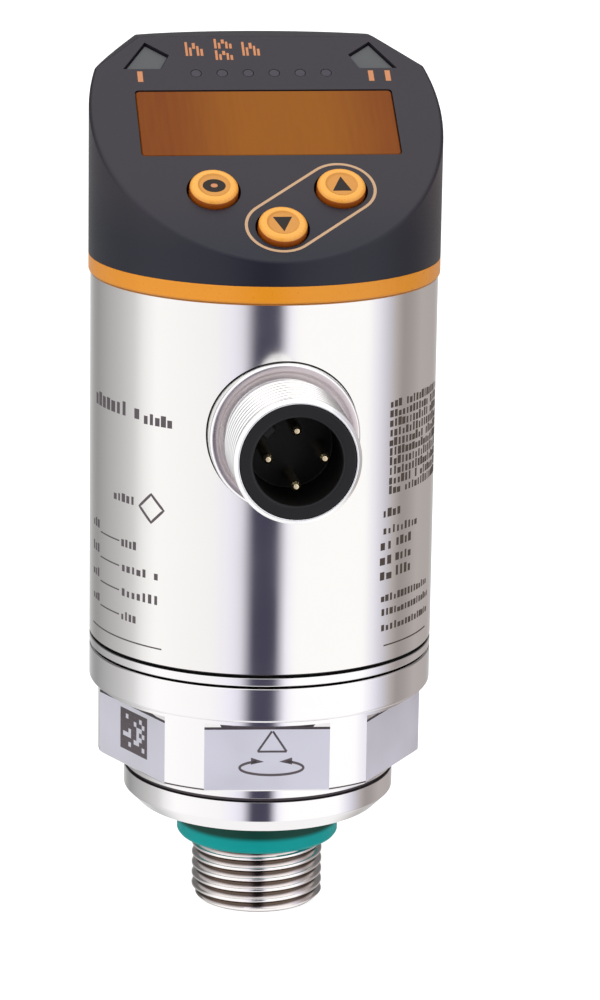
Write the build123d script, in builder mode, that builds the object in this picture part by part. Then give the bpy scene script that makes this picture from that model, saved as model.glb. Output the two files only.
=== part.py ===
from build123d import *
import math
import os

os.makedirs("parts", exist_ok=True)

# Pressure sensor with a slanted display head and a round cable connector.
# Millimetres and degrees. The origin is on the long axis, in the sealing plane under the collar.
# +Z runs up to the head, and the display and the connector face -Y.

# Clearances
fit = 0.05
running = 0.05
swivel_gap = 0.3

# Threaded spigot with its seal, down from the sealing plane
thread_diameter = 13.157
spigot_length = 10.65
spigot_chamfer = 0.6
port_diameter = 4.0
seal_neck_diameter = 11.4
seal_diameter = 16.2
seal_height = 3.85
seal_taper = 0.25
seal_recess = 0.4

# Collar, hexagon and flange, up from the sealing plane
collar_diameter = 27.0
collar_height = 5.0
collar_chamfer = 1.4
mark_groove_height = 3.6
mark_groove_width = 0.3
mark_groove_depth = 0.3
hex_across_flats = 29.8
hex_across_rounds = 32.2
hex_height = 6.6
hex_shoulder = 1.0
hex_turn = -3.8
flange_height = 3.45
flange_edge = 0.3

# Swivel between the flange and the housing
body_diameter = 34.0
bush_wall = 3.4
lip_height = 0.7
shadow_groove_height = 0.3
shadow_groove_depth = 0.8
bush_length = 8.0
swivel_seal_section = 1.4
swivel_seal_height = 4.5
clip_thickness = 1.0
clip_depth = 0.8
clip_rim = 1.2
clip_mouth = 7.0
neck_end = 3.0
stop_pin_diameter = 1.5
stop_pin_proud = 1.4

# Measuring cell in the neck
neck_wall = 2.7
chamber_floor_height = 6.0
cell_seal_section = 1.6
cell_seal_inset = 2.0
cell_thickness = 3.6
clamp_height = 3.0
clamp_wall = 2.3
clamp_key_diameter = 1.2
cell_board_thickness = 1.0
cell_cable_diameter = 2.4

# Housing tube
tube_length = 36.45
tube_wall = 1.5

# Round cable connector
connector_down = 12.8
boss_diameter = 14.4
boss_proud = 0.6
boss_edge = 0.35
boss_depth = 4.1
barrel_diameter = 12.0
barrel_length = 9.5
barrel_groove_width = 0.8
barrel_groove_depth = 0.7
barrel_chamfer = 0.4
insert_diameter = 11.0
socket_diameter = 8.4
socket_depth = 7.0
insert_tail = 1.0
key_width = 1.4
key_depth = 0.8
pin_count = 4
pin_circle = 5.5
pin_diameter = 1.0
pin_setback = 1.2
contact_board_size = 12.0
contact_board_thickness = 1.0
contact_board_gap = 1.6
pin_tail = 0.7
wire_diameter = 0.6

# Head
ring_height = 1.7
head_proud = 0.2
head_wall = 1.7
ridge_up = 31.4
crown_fall = 4.0
head_edge = 0.5
slant_angle = 34.0
slant_front_height = 2.3
bevel_angle = 31.0
bevel_inset = 5.6
cap_spigot_length = 4.5
cap_spigot_wall = 2.0
cap_shoulder = 0.7
cap_seal_section = 1.4
cap_seal_height = 2.0

# Display window, up the slant from its front edge
window_side = 4.65
window_height = 9.1
window_up = 19.1
window_thickness = 1.0
window_sunk = 0.12
window_rest = 1.0
window_corner = 0.4
module_gap = 0.2

# Display board under the slant
board_depth = 6.0
board_thickness = 1.2
display_board_margin = 2.2
board_top_gap = 1.0
post_diameter = 1.8
post_pin_diameter = 1.2
post_pin_length = 1.6
lower_post_out = 9.8
lower_post_up = 12.4
upper_post_out = 8.3
upper_post_up = 24.9

# Buttons
button_diameter = 4.7
button_proud = 0.8
button_edge = 0.3
button_gap = 0.25
button_flange_diameter = 6.0
button_flange_height = 0.6
button_stem_diameter = 2.2
button_travel = 0.4
button_out = 6.1
button_high_up = 9.7
button_low_up = 4.6
switch_size = 3.6
switch_height = 1.4
plunger_diameter = 2.0
plunger_height = 0.5
switch_gap = 0.05

# Light windows in the upper corners and the row of indicator dots
light_sunk = 0.3
light_apex_inset = 6.1
light_apex_up = 30.5
light_inner_inset = 8.3
light_inner_up = 28.7
light_foot_inset = 7.4
light_far_inset = 3.8
light_foot_up = 26.8
dot_count = 6
dot_pitch = 2.56
dot_diameter = 1.0
dot_up = 26.1
led_gap = 0.3
small_led_size = 1.2
small_led_height = 0.6
status_led_size = 2.4
status_led_height = 1.2
status_led_inset = 7.0
status_led_up = 27.8

# Boards inside the tube
carrier_floor = 1.4
carrier_ring_wall = 1.6
carrier_hole = 6.0
rail_gap = 0.5
rail_width = 2.2
rail_depth = 6.0
rail_groove_depth = 0.9
main_board_margin = 2.3
main_board_short = 0.45
main_board_thickness = 1.6
main_board_back = 2.0
chip_size = 7.0
chip_height = 1.1
chip_down = 5.0
small_chip_size = 4.6
small_chip_height = 1.4
small_chip_inset = 5.2
capacitor_diameter = 5.0
capacitor_length = 6.5
capacitor_pitch = 8.0
capacitor_up = 7.0
flex_width = 7.0
flex_thickness = 0.25
flex_overlap = 3.0

# Heights worked out from the sizes above
hex_bottom = collar_height
hex_top = hex_bottom + hex_height
flange_bottom = hex_top + hex_shoulder
flange_top = flange_bottom + flange_height
lip_bottom = flange_top + swivel_gap
lip_top = lip_bottom + lip_height
tube_bottom = lip_top + shadow_groove_height
bush_top = tube_bottom + bush_length
clip_bottom = bush_top + swivel_gap
clip_top = clip_bottom + clip_thickness
neck_top = clip_top + neck_end
tube_top = tube_bottom + tube_length
head_bottom = tube_top + ring_height
slant_front = head_bottom + slant_front_height
slant_sine = math.sin(math.radians(slant_angle))
slant_cosine = math.cos(math.radians(slant_angle))
head_height = slant_front_height + ridge_up * slant_sine
head_top = head_bottom + head_height
connector_height = tube_top - connector_down

# Radii worked out from the sizes above
thread_r = thread_diameter / 2
seal_r = seal_diameter / 2
body_r = body_diameter / 2
tube_inner_r = body_r - tube_wall
bush_r = tube_inner_r - fit
bush_bore_r = bush_r - bush_wall
neck_r = bush_bore_r - running
chamber_r = neck_r - neck_wall
clamp_bore_r = chamber_r - clamp_wall
collar_r = collar_diameter / 2
head_r = body_r + head_proud
head_inner_r = head_r - head_wall
display_board_r = head_inner_r - display_board_margin
cap_spigot_r = tube_inner_r - fit
cap_spigot_bore_r = cap_spigot_r - cap_spigot_wall
clip_outer_r = neck_r + clip_rim
carrier_r = tube_inner_r - fit
carrier_ring_bore_r = carrier_r - carrier_ring_wall

# Process fitting: spigot, collar, hexagon, flange and swivel neck, turned in one piece
seal_groove_depth = swivel_seal_section
seal_groove_half = swivel_seal_section / 2 + running * 2
seal_groove_mid = flange_top + swivel_seal_height
clip_groove_r = neck_r - clip_depth

with BuildPart() as process_fitting:
    with BuildSketch(Plane.XZ):
        with BuildLine():
            Polyline(
                (port_diameter / 2, -spigot_length),
                (thread_r - spigot_chamfer, -spigot_length),
                (thread_r, -spigot_length + spigot_chamfer),
                (thread_r, -seal_height),
                (seal_neck_diameter / 2, -seal_height),
                (seal_neck_diameter / 2, seal_recess),
                (seal_r + fit, seal_recess),
                (seal_r + fit, 0),
                (collar_r - collar_chamfer, 0),
                (collar_r, collar_chamfer),
                (collar_r, mark_groove_height - mark_groove_width / 2),
                (collar_r - mark_groove_depth, mark_groove_height - mark_groove_width / 2),
                (collar_r - mark_groove_depth, mark_groove_height + mark_groove_width / 2),
                (collar_r, mark_groove_height + mark_groove_width / 2),
                (collar_r, flange_bottom),
                (body_r - flange_edge, flange_bottom),
                (body_r, flange_bottom + flange_edge),
                (body_r, flange_top),
                (neck_r, flange_top),
                (neck_r, seal_groove_mid - seal_groove_half),
                (neck_r - seal_groove_depth, seal_groove_mid - seal_groove_half),
                (neck_r - seal_groove_depth, seal_groove_mid + seal_groove_half),
                (neck_r, seal_groove_mid + seal_groove_half),
                (neck_r, clip_bottom - fit),
                (clip_groove_r, clip_bottom - fit),
                (clip_groove_r, clip_top + fit),
                (neck_r, clip_top + fit),
                (neck_r, neck_top),
                (chamber_r, neck_top),
                (chamber_r, chamber_floor_height),
                (port_diameter / 2, chamber_floor_height),
                close=True,
            )
        make_face()
    revolve(axis=Axis.Z)
    with BuildSketch(Plane.XY.offset(hex_bottom)):
        RegularPolygon(hex_across_flats / 2, 6, major_radius=False, rotation=hex_turn)
        Circle(hex_across_rounds / 2, mode=Mode.INTERSECT)
        Circle(chamber_r, mode=Mode.SUBTRACT)
    extrude(amount=hex_height)
    with BuildSketch(Plane.XY.offset(hex_top)):
        Circle(hex_across_rounds / 2)
        Circle(chamber_r, mode=Mode.SUBTRACT)
    extrude(amount=hex_shoulder)
    with BuildSketch(Plane.XZ):
        with Locations((0, (clip_top + neck_top) / 2)):
            Circle(stop_pin_diameter / 2 + fit)
    extrude(amount=-neck_r, mode=Mode.SUBTRACT)

# Green seal around the neck of the spigot, its top in a recess of the collar
with BuildPart() as thread_seal:
    with BuildSketch(Plane.XZ):
        with BuildLine():
            Polyline(
                (seal_neck_diameter / 2 + fit, -seal_height),
                (seal_r - seal_taper, -seal_height),
                (seal_r, -seal_height + seal_taper),
                (seal_r, -seal_height / 2),
                (seal_r - seal_taper, seal_recess),
                (seal_neck_diameter / 2 + fit, seal_recess),
                close=True,
            )
        make_face()
    revolve(axis=Axis.Z)

# Stack in the neck: seal, measuring cell, clamp ring, small board and cable
cell_seal_mid = chamber_floor_height + cell_seal_section / 2
cell_bottom = chamber_floor_height + cell_seal_section
clamp_bottom = cell_bottom + cell_thickness
cell_board_bottom = clamp_bottom + clamp_height
cell_board_top = cell_board_bottom + cell_board_thickness
carrier_bottom = neck_top + swivel_gap

with BuildPart() as cell_seal:
    with BuildSketch(Plane.XZ):
        with Locations((chamber_r - cell_seal_inset, cell_seal_mid)):
            Circle(cell_seal_section / 2)
    revolve(axis=Axis.Z)

with BuildPart() as measuring_cell:
    with BuildSketch(Plane.XY.offset(cell_bottom)):
        Circle(chamber_r - fit)
    extrude(amount=cell_thickness)

with BuildPart() as clamp_ring:
    with BuildSketch(Plane.XY.offset(clamp_bottom)):
        Circle(chamber_r - fit)
        Circle(clamp_bore_r, mode=Mode.SUBTRACT)
        with PolarLocations((chamber_r + clamp_bore_r) / 2, 2):
            Circle(clamp_key_diameter / 2, mode=Mode.SUBTRACT)
    extrude(amount=clamp_height)

with BuildPart() as cell_board:
    with BuildSketch(Plane.XY.offset(cell_board_bottom)):
        Circle(chamber_r - fit)
    extrude(amount=cell_board_thickness)

with BuildPart() as cell_cable:
    with BuildSketch(Plane.XY.offset(cell_board_top)):
        Circle(cell_cable_diameter / 2)
    extrude(amount=carrier_bottom - swivel_gap - cell_board_top)

# Swivel: seal in the neck's groove, bush in the tube, clip over the bush, and a stop pin
with BuildPart() as swivel_seal:
    with BuildSketch(Plane.XZ):
        with Locations((neck_r - swivel_seal_section / 2, seal_groove_mid)):
            Circle(swivel_seal_section / 2)
    revolve(axis=Axis.Z)

with BuildPart() as bearing_bush:
    with BuildSketch(Plane.XZ):
        with BuildLine():
            Polyline(
                (bush_bore_r, lip_bottom),
                (body_r, lip_bottom),
                (body_r, lip_top),
                (body_r - shadow_groove_depth, lip_top),
                (body_r - shadow_groove_depth, tube_bottom),
                (bush_r, tube_bottom),
                (bush_r, bush_top),
                (bush_bore_r, bush_top),
                close=True,
            )
        make_face()
    revolve(axis=Axis.Z)

with BuildPart() as swivel_clip:
    with BuildSketch(Plane.XY.offset(clip_bottom)):
        Circle(clip_outer_r)
        Circle(clip_groove_r + fit, mode=Mode.SUBTRACT)
        with Locations((neck_r, 0)):
            Rectangle(neck_r, clip_mouth, mode=Mode.SUBTRACT)
    extrude(amount=clip_thickness)

with BuildPart() as stop_pin:
    with BuildSketch(Plane.XZ.offset(-chamber_r)):
        with Locations((0, (clip_top + neck_top) / 2)):
            Circle(stop_pin_diameter / 2)
    extrude(amount=-(neck_r - chamber_r + stop_pin_proud))

# Housing tube with the cross bore for the connector
boss_r = boss_diameter / 2

with BuildPart() as housing_tube:
    with BuildSketch(Plane.XY.offset(tube_bottom)):
        Circle(body_r)
        Circle(tube_inner_r, mode=Mode.SUBTRACT)
    extrude(amount=tube_length)
    with BuildSketch(Plane.XZ):
        with Locations((0, connector_height)):
            Circle(boss_r + fit)
    extrude(amount=body_r, mode=Mode.SUBTRACT)

# Connector shell: boss in the tube's wall and barrel for the cable's coupling nut
boss_face = body_r + boss_proud
boss_back = boss_face - boss_depth
barrel_face = boss_face + barrel_length
barrel_r = barrel_diameter / 2
insert_r = insert_diameter / 2
plug_plane = Plane(origin=(0, 0, connector_height), x_dir=(1, 0, 0), z_dir=(0, -1, 0))

with BuildPart() as connector_shell:
    with BuildSketch(plug_plane.offset(boss_back)):
        Circle(boss_r)
    extrude(amount=boss_depth)
    chamfer(connector_shell.edges().group_by(Axis.Y)[0], boss_edge)
    with BuildSketch(plug_plane.offset(boss_face)):
        Circle(barrel_r)
    extrude(amount=barrel_length)
    chamfer(connector_shell.edges().group_by(Axis.Y)[0], barrel_chamfer)
    with BuildSketch(plug_plane.offset(boss_face)):
        Circle(barrel_r)
        Circle(barrel_r - barrel_groove_depth / 2, mode=Mode.SUBTRACT)
    extrude(amount=barrel_groove_width, mode=Mode.SUBTRACT)
    with BuildSketch(plug_plane.offset(boss_back)):
        Circle(insert_r)
    extrude(amount=boss_depth + barrel_length, mode=Mode.SUBTRACT)

# Contact carrier: a cup with a coding ridge, filled behind its floor
insert_back = boss_back - insert_tail
socket_floor = barrel_face - socket_depth
socket_r = socket_diameter / 2
key_plane = plug_plane.offset(socket_floor).rotated((0, 0, 135))

with BuildPart() as connector_insert:
    with BuildSketch(plug_plane.offset(insert_back)):
        Circle(insert_r - fit)
    extrude(amount=barrel_face - insert_back)
    with BuildSketch(plug_plane.offset(socket_floor)):
        Circle(socket_r)
    extrude(amount=socket_depth, mode=Mode.SUBTRACT)
    with BuildSketch(key_plane):
        with Locations((socket_r, 0)):
            Rectangle(key_depth * 2, key_width)
        Circle(socket_r + fit, mode=Mode.INTERSECT)
    extrude(amount=socket_depth - key_depth)
    with BuildSketch(plug_plane.offset(insert_back)):
        with PolarLocations(pin_circle / 2, pin_count):
            Circle(pin_diameter / 2 + fit)
    extrude(amount=socket_floor - insert_back, mode=Mode.SUBTRACT)

# Contact pins, with the board that they are soldered to and its wires
contact_board_front = insert_back - contact_board_gap
contact_board_back = contact_board_front - contact_board_thickness
pin_back = contact_board_back - pin_tail

with BuildPart() as connector_pins:
    with BuildSketch(plug_plane.offset(pin_back)):
        with PolarLocations(pin_circle / 2, pin_count):
            Circle(pin_diameter / 2)
    extrude(amount=barrel_face - pin_setback - pin_back)
    fillet(connector_pins.edges().group_by(Axis.Y)[0], pin_diameter * 0.4)

with BuildPart() as contact_board:
    with BuildSketch(plug_plane.offset(contact_board_back)):
        RectangleRounded(contact_board_size, contact_board_size, contact_board_thickness)
        with PolarLocations(pin_circle / 2, pin_count):
            Circle(pin_diameter / 2 + fit, mode=Mode.SUBTRACT)
    extrude(amount=contact_board_thickness)

with BuildPart() as link_wires:
    with BuildSketch(plug_plane.offset(pin_back)):
        with PolarLocations(pin_circle / 2, pin_count):
            Circle(wire_diameter / 2)
    extrude(amount=-(pin_back + main_board_back))

# Orange ring between the tube and the head
with BuildPart() as accent_ring:
    with BuildSketch(Plane.XY.offset(tube_top)):
        Circle(head_r)
        Circle(cap_spigot_r + fit, mode=Mode.SUBTRACT)
    extrude(amount=ring_height)

# The slanted face is a plane whose x runs across the head and whose y runs up the slant
slant = Plane(origin=(0, -head_r, slant_front), x_dir=(1, 0, 0), z_dir=(0, -slant_sine, slant_cosine))
slant_normal = Axis(slant.origin, slant.z_dir)

# Behind the ridge the crown falls to the back, and the two upper corners fall away sideways as well
ridge_y = -head_r + ridge_up * slant_cosine
fall_sine = math.sin(math.radians(crown_fall))
fall_cosine = math.cos(math.radians(crown_fall))
bevel_sine = math.sin(math.radians(bevel_angle))
bevel_cosine = math.cos(math.radians(bevel_angle))
bevel_start = head_r - bevel_inset
crown = Plane(origin=(0, ridge_y, head_top), x_dir=(1, 0, 0), z_dir=(0, fall_sine, fall_cosine))
bevels = [
    Plane(
        origin=(side * bevel_start, ridge_y, head_top),
        z_dir=(side * bevel_sine, bevel_cosine * fall_sine, bevel_cosine * fall_cosine),
    )
    for side in (-1, 1)
]

button_places = [(-button_out, button_high_up), (0, button_low_up), (button_out, button_high_up)]


window_width = 2 * (head_r - window_side)
status_led_out = head_r - status_led_inset


def light_corners(side):
    return [
        (side * (head_r - light_apex_inset), light_apex_up),
        (side * (head_r - light_inner_inset), light_inner_up),
        (side * (head_r - light_foot_inset), light_foot_up),
        (side * (head_r - light_far_inset), light_foot_up),
    ]


# Hollow of the head, taken out of the cap below
with BuildPart() as head_hollow:
    with BuildSketch(Plane.XY.offset(head_bottom + cap_shoulder)):
        Circle(head_inner_r)
    extrude(amount=head_height)
    for roof in (slant, crown, *bevels):
        split(bisect_by=roof.offset(-head_wall), keep=Keep.BOTTOM)

cap_groove_mid = tube_top - cap_seal_height
cap_groove_half = cap_seal_section / 2 + fit
post_places = [
    (-lower_post_out, lower_post_up),
    (lower_post_out, lower_post_up),
    (-upper_post_out, upper_post_up),
    (upper_post_out, upper_post_up),
]

# Head cap: a moulded shell with a spigot that plugs into the tube
with BuildPart() as head_cap:
    with BuildSketch(Plane.XY.offset(head_bottom)):
        Circle(head_r)
    extrude(amount=head_height + head_wall)
    for roof in (slant, crown, *bevels):
        split(bisect_by=roof, keep=Keep.BOTTOM)
    upper_edges = head_cap.edges().filter_by(Axis.Z, reverse=True).sort_by(Axis.Z)[1:]
    fillet(upper_edges, head_edge)
    add(head_hollow.part, mode=Mode.SUBTRACT)
    with BuildSketch(Plane.XY.offset(tube_top - cap_spigot_length)):
        Circle(cap_spigot_r)
    extrude(amount=cap_spigot_length + ring_height)
    with BuildSketch(Plane.XY.offset(tube_top - cap_spigot_length)):
        Circle(cap_spigot_bore_r)
    extrude(amount=cap_spigot_length + ring_height + cap_shoulder, mode=Mode.SUBTRACT)
    with BuildSketch(Plane.XY.offset(cap_groove_mid - cap_groove_half)):
        Circle(cap_spigot_r + fit)
        Circle(cap_spigot_r - cap_seal_section, mode=Mode.SUBTRACT)
    extrude(amount=2 * cap_groove_half, mode=Mode.SUBTRACT)
    with BuildSketch(slant.offset(-head_wall)):
        with Locations((0, window_up)):
            RectangleRounded(
                window_width - 2 * window_rest, window_height - 2 * window_rest, window_corner
            )
    extrude(amount=head_wall, mode=Mode.SUBTRACT)
    with BuildSketch(slant.offset(-window_sunk - window_thickness)):
        with Locations((0, window_up)):
            RectangleRounded(window_width + 2 * fit, window_height + 2 * fit, window_corner)
    extrude(amount=head_wall, mode=Mode.SUBTRACT)
    with BuildSketch(slant.offset(-head_wall)):
        with Locations(*button_places):
            Circle(button_diameter / 2 + button_gap)
    extrude(amount=head_wall, mode=Mode.SUBTRACT)
    with BuildSketch(slant.offset(-head_wall)):
        with Locations((0, dot_up)):
            with GridLocations(dot_pitch, 0, dot_count, 1):
                Circle(dot_diameter / 2 + fit)
    extrude(amount=head_wall, mode=Mode.SUBTRACT)
    for side in (-1, 1):
        with BuildSketch(slant.offset(-2 * head_wall)):
            Polygon(*light_corners(side), align=None)
            offset(amount=fit, kind=Kind.INTERSECTION)
        extrude(amount=3 * head_wall, mode=Mode.SUBTRACT)
    with BuildSketch(slant.offset(-board_depth)):
        with Locations(*post_places):
            Circle(post_diameter / 2)
    extrude(amount=board_depth - head_wall)
    with BuildSketch(slant.offset(-board_depth - post_pin_length)):
        with Locations(*post_places):
            Circle(post_pin_diameter / 2)
    extrude(amount=post_pin_length)

with BuildPart() as cap_seal:
    with BuildSketch(Plane.XZ):
        with Locations((cap_spigot_r - cap_seal_section / 2, cap_groove_mid)):
            Circle(cap_seal_section / 2)
    revolve(axis=Axis.Z)

# Display: window in the cap's rebate, module under it
with BuildPart() as display_window:
    with BuildSketch(slant.offset(-window_sunk - window_thickness)):
        with Locations((0, window_up)):
            RectangleRounded(window_width, window_height, window_corner)
    extrude(amount=window_thickness)

module_top = window_sunk + window_thickness + module_gap
module_margin = window_rest + module_gap

with BuildPart() as display_module:
    with BuildSketch(slant.offset(-board_depth)):
        with Locations((0, window_up)):
            Rectangle(window_width - 2 * module_margin, window_height - 2 * module_margin)
    extrude(amount=board_depth - module_top)

# Display board, cut to the head's round, with holes for the cap's pins
with BuildPart() as display_board:
    with BuildSketch(Plane.XY.offset(head_bottom - head_height)):
        Circle(display_board_r)
    extrude(amount=3 * head_height)
    split(bisect_by=slant.offset(-board_depth), keep=Keep.BOTTOM)
    split(bisect_by=slant.offset(-board_depth - board_thickness), keep=Keep.TOP)
    split(bisect_by=crown.offset(-head_wall - board_top_gap), keep=Keep.BOTTOM)
    with BuildSketch(slant.offset(-board_depth - board_thickness)):
        with Locations(*post_places):
            Circle(post_pin_diameter / 2 + fit)
    extrude(amount=board_thickness, mode=Mode.SUBTRACT)

# Light windows in the corners, light pipes of the dots, and the emitters below them
light_windows = {}
for label, side in (("light_window_left", -1), ("light_window_right", 1)):
    with BuildPart() as light_window:
        with BuildSketch(slant.offset(-head_wall)):
            Polygon(*light_corners(side), align=None)
        extrude(amount=head_wall - light_sunk)
    light_windows[label] = light_window

with BuildPart() as indicator_pipes:
    with BuildSketch(slant.offset(-board_depth + small_led_height + led_gap)):
        with Locations((0, dot_up)):
            with GridLocations(dot_pitch, 0, dot_count, 1):
                Circle(dot_diameter / 2)
    extrude(amount=board_depth - small_led_height - led_gap)

with BuildPart() as indicator_leds:
    with BuildSketch(slant.offset(-board_depth)):
        with Locations((0, dot_up)):
            with GridLocations(dot_pitch, 0, dot_count, 1):
                Rectangle(small_led_size, small_led_size)
    extrude(amount=small_led_height)

with BuildPart() as status_leds:
    with BuildSketch(slant.offset(-board_depth)):
        with Locations((-status_led_out, status_led_up), (status_led_out, status_led_up)):
            Rectangle(status_led_size, status_led_size)
    extrude(amount=status_led_height)

# Push switches under the buttons
switch_top_depth = board_depth - switch_height - plunger_height
stem_end_depth = switch_top_depth - button_travel - switch_gap
flange_top_depth = head_wall + fit
flange_end_depth = flange_top_depth + button_flange_height

with BuildPart() as push_switches:
    with BuildSketch(slant.offset(-board_depth)):
        with Locations(*button_places):
            Rectangle(switch_size, switch_size)
    extrude(amount=switch_height)
    with BuildSketch(slant.offset(-board_depth + switch_height)):
        with Locations(*button_places):
            Circle(plunger_diameter / 2)
    extrude(amount=plunger_height)

# Buttons: a cap through the head's wall, a flange that stops it from inside, and a stem
buttons = {}
for label, place in zip(("enter_button", "down_button", "up_button"), button_places):
    with BuildPart() as button:
        with BuildSketch(slant.offset(-flange_top_depth)):
            with Locations(place):
                Circle(button_diameter / 2)
        extrude(amount=flange_top_depth + button_proud)
        fillet(button.faces().sort_by(slant_normal)[-1].edges(), button_edge)
        with BuildSketch(slant.offset(-flange_end_depth)):
            with Locations(place):
                Circle(button_flange_diameter / 2)
        extrude(amount=button_flange_height)
        with BuildSketch(slant.offset(-stem_end_depth)):
            with Locations(place):
                Circle(button_stem_diameter / 2)
        extrude(amount=stem_end_depth - flange_end_depth)
    buttons[label] = button

# Board carrier: a ring that stands on the bush, a floor, two grooved rails and a stop lug
carrier_floor_top = carrier_bottom + carrier_floor
main_board_bottom = carrier_floor_top
rail_top = tube_top - cap_spigot_length - rail_gap
main_board_mid_y = main_board_back + main_board_thickness / 2
main_board_far_y = main_board_back + main_board_thickness
board_half = math.sqrt(carrier_r**2 - main_board_far_y**2) - main_board_margin
main_board_width = 2 * board_half
main_board_height = tube_top - main_board_short - main_board_bottom
chip_up = main_board_height - chip_down
small_chip_out = board_half - small_chip_inset
rail_inner = board_half - rail_groove_depth

with BuildPart() as board_carrier:
    with BuildSketch(Plane.XY.offset(bush_top)):
        Circle(carrier_r)
        Circle(carrier_ring_bore_r, mode=Mode.SUBTRACT)
    extrude(amount=carrier_floor_top - bush_top)
    with BuildSketch(Plane.XY.offset(carrier_bottom)):
        Circle(carrier_r)
        Circle(carrier_hole / 2, mode=Mode.SUBTRACT)
    extrude(amount=carrier_floor)
    with BuildSketch(Plane.XY.offset(clip_top + swivel_gap)):
        with Locations((0, -(neck_r + swivel_gap + carrier_r) / 2)):
            Rectangle(stop_pin_diameter, carrier_r - neck_r - swivel_gap)
        Circle(carrier_ring_bore_r + fit, mode=Mode.INTERSECT)
    extrude(amount=carrier_floor_top - clip_top - swivel_gap)
    with BuildSketch(Plane.XY.offset(carrier_floor_top)):
        for side in (-1, 1):
            with Locations((side * (rail_inner + rail_width / 2), main_board_mid_y)):
                Rectangle(rail_width, rail_depth)
        Circle(carrier_r, mode=Mode.INTERSECT)
        with Locations((0, main_board_mid_y)):
            Rectangle(main_board_width + 2 * fit, main_board_thickness + 2 * fit, mode=Mode.SUBTRACT)
    extrude(amount=rail_top - carrier_floor_top)

# Main board with its chips, capacitors and the flex link up to the display board
board_plane = Plane(
    origin=(0, main_board_back, main_board_bottom), x_dir=(1, 0, 0), z_dir=(0, -1, 0)
)

with BuildPart() as main_board:
    with BuildSketch(board_plane):
        with Locations((0, main_board_height / 2)):
            Rectangle(main_board_width, main_board_height)
    extrude(amount=-main_board_thickness)

with BuildPart() as processor_chip:
    with BuildSketch(board_plane.offset(-main_board_thickness)):
        with Locations((0, chip_up)):
            Rectangle(chip_size, chip_size)
    extrude(amount=-chip_height)

with BuildPart() as interface_chip:
    with BuildSketch(board_plane):
        with Locations((small_chip_out, chip_up)):
            Rectangle(small_chip_size, small_chip_size)
    extrude(amount=small_chip_height)

with BuildPart() as filter_capacitors:
    with BuildSketch(board_plane.offset(-main_board_thickness)):
        with Locations((0, capacitor_up)):
            with GridLocations(capacitor_pitch, 0, 2, 1):
                Circle(capacitor_diameter / 2)
    extrude(amount=-capacitor_length)

with BuildPart() as flex_link:
    with BuildSketch(board_plane):
        with Locations((0, main_board_height - flex_overlap + head_height)):
            Rectangle(flex_width, 2 * head_height)
    extrude(amount=flex_thickness)
    split(bisect_by=slant.offset(-board_depth - board_thickness - fit), keep=Keep.BOTTOM)

# One file for each piece
pieces = {
    "process_fitting": process_fitting,
    "thread_seal": thread_seal,
    "cell_seal": cell_seal,
    "measuring_cell": measuring_cell,
    "clamp_ring": clamp_ring,
    "cell_board": cell_board,
    "cell_cable": cell_cable,
    "swivel_seal": swivel_seal,
    "bearing_bush": bearing_bush,
    "swivel_clip": swivel_clip,
    "stop_pin": stop_pin,
    "housing_tube": housing_tube,
    "connector_shell": connector_shell,
    "connector_insert": connector_insert,
    "connector_pins": connector_pins,
    "contact_board": contact_board,
    "link_wires": link_wires,
    "accent_ring": accent_ring,
    "head_cap": head_cap,
    "cap_seal": cap_seal,
    "display_window": display_window,
    "display_module": display_module,
    "display_board": display_board,
    "indicator_pipes": indicator_pipes,
    "indicator_leds": indicator_leds,
    "status_leds": status_leds,
    "push_switches": push_switches,
    "board_carrier": board_carrier,
    "main_board": main_board,
    "processor_chip": processor_chip,
    "interface_chip": interface_chip,
    "filter_capacitors": filter_capacitors,
    "flex_link": flex_link,
    **light_windows,
    **buttons,
}

for label, piece in pieces.items():
    piece.part.label = label
    export_step(piece.part, f"parts/{label}.step")
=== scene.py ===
import math
import random
import bmesh
import bpy
from mathutils import Matrix, Vector


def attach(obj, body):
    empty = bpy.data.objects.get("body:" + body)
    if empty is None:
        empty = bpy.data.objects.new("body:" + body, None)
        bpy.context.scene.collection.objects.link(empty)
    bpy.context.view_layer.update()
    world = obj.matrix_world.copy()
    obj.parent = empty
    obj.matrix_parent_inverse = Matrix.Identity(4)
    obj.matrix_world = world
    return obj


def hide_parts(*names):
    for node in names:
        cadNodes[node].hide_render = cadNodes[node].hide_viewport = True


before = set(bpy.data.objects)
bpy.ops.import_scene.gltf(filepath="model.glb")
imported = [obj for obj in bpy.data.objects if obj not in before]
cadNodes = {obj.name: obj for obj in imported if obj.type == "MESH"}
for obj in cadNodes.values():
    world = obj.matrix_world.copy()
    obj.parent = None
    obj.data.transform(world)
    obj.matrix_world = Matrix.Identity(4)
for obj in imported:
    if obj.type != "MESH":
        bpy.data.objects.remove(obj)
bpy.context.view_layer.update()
mm = 0.001
print("frame loaded,", len(cadNodes), "nodes")


# small helpers for nodes and finishes

def toLinear(hexColour):
    channels = [int(hexColour[i:i + 2], 16) / 255 for i in (1, 3, 5)]
    return [c / 12.92 if c <= 0.04045 else ((c + 0.055) / 1.055) ** 2.4 for c in channels] + [1.0]


def link(node, sources):
    # a source is a socket, or a node that gives its output in use
    for key, source in sources.items():
        outputs = getattr(source, "outputs", [source])
        node.id_data.links.new(next(o for o in outputs if o.enabled), node.inputs[key])


def addNode(tree, kind, settings=None, links=None):
    node = tree.nodes.new(kind)
    for key, value in (settings or {}).items():
        if isinstance(key, int) or key in node.inputs:
            node.inputs[key].default_value = value
        else:
            setattr(node, key, value)
    link(node, links or {})
    return node


def addSteps(tree, known, kind, steps):
    # a node for each step: its name, its operation, and its inputs as numbers or as names of what is known
    for name, operation, *terms in steps:
        numbers = {i: term for i, term in enumerate(terms) if not isinstance(term, str)}
        links = {i: known[term] for i, term in enumerate(terms) if isinstance(term, str)}
        known[name] = addNode(tree, kind, {"operation": operation, **numbers}, links)


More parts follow.
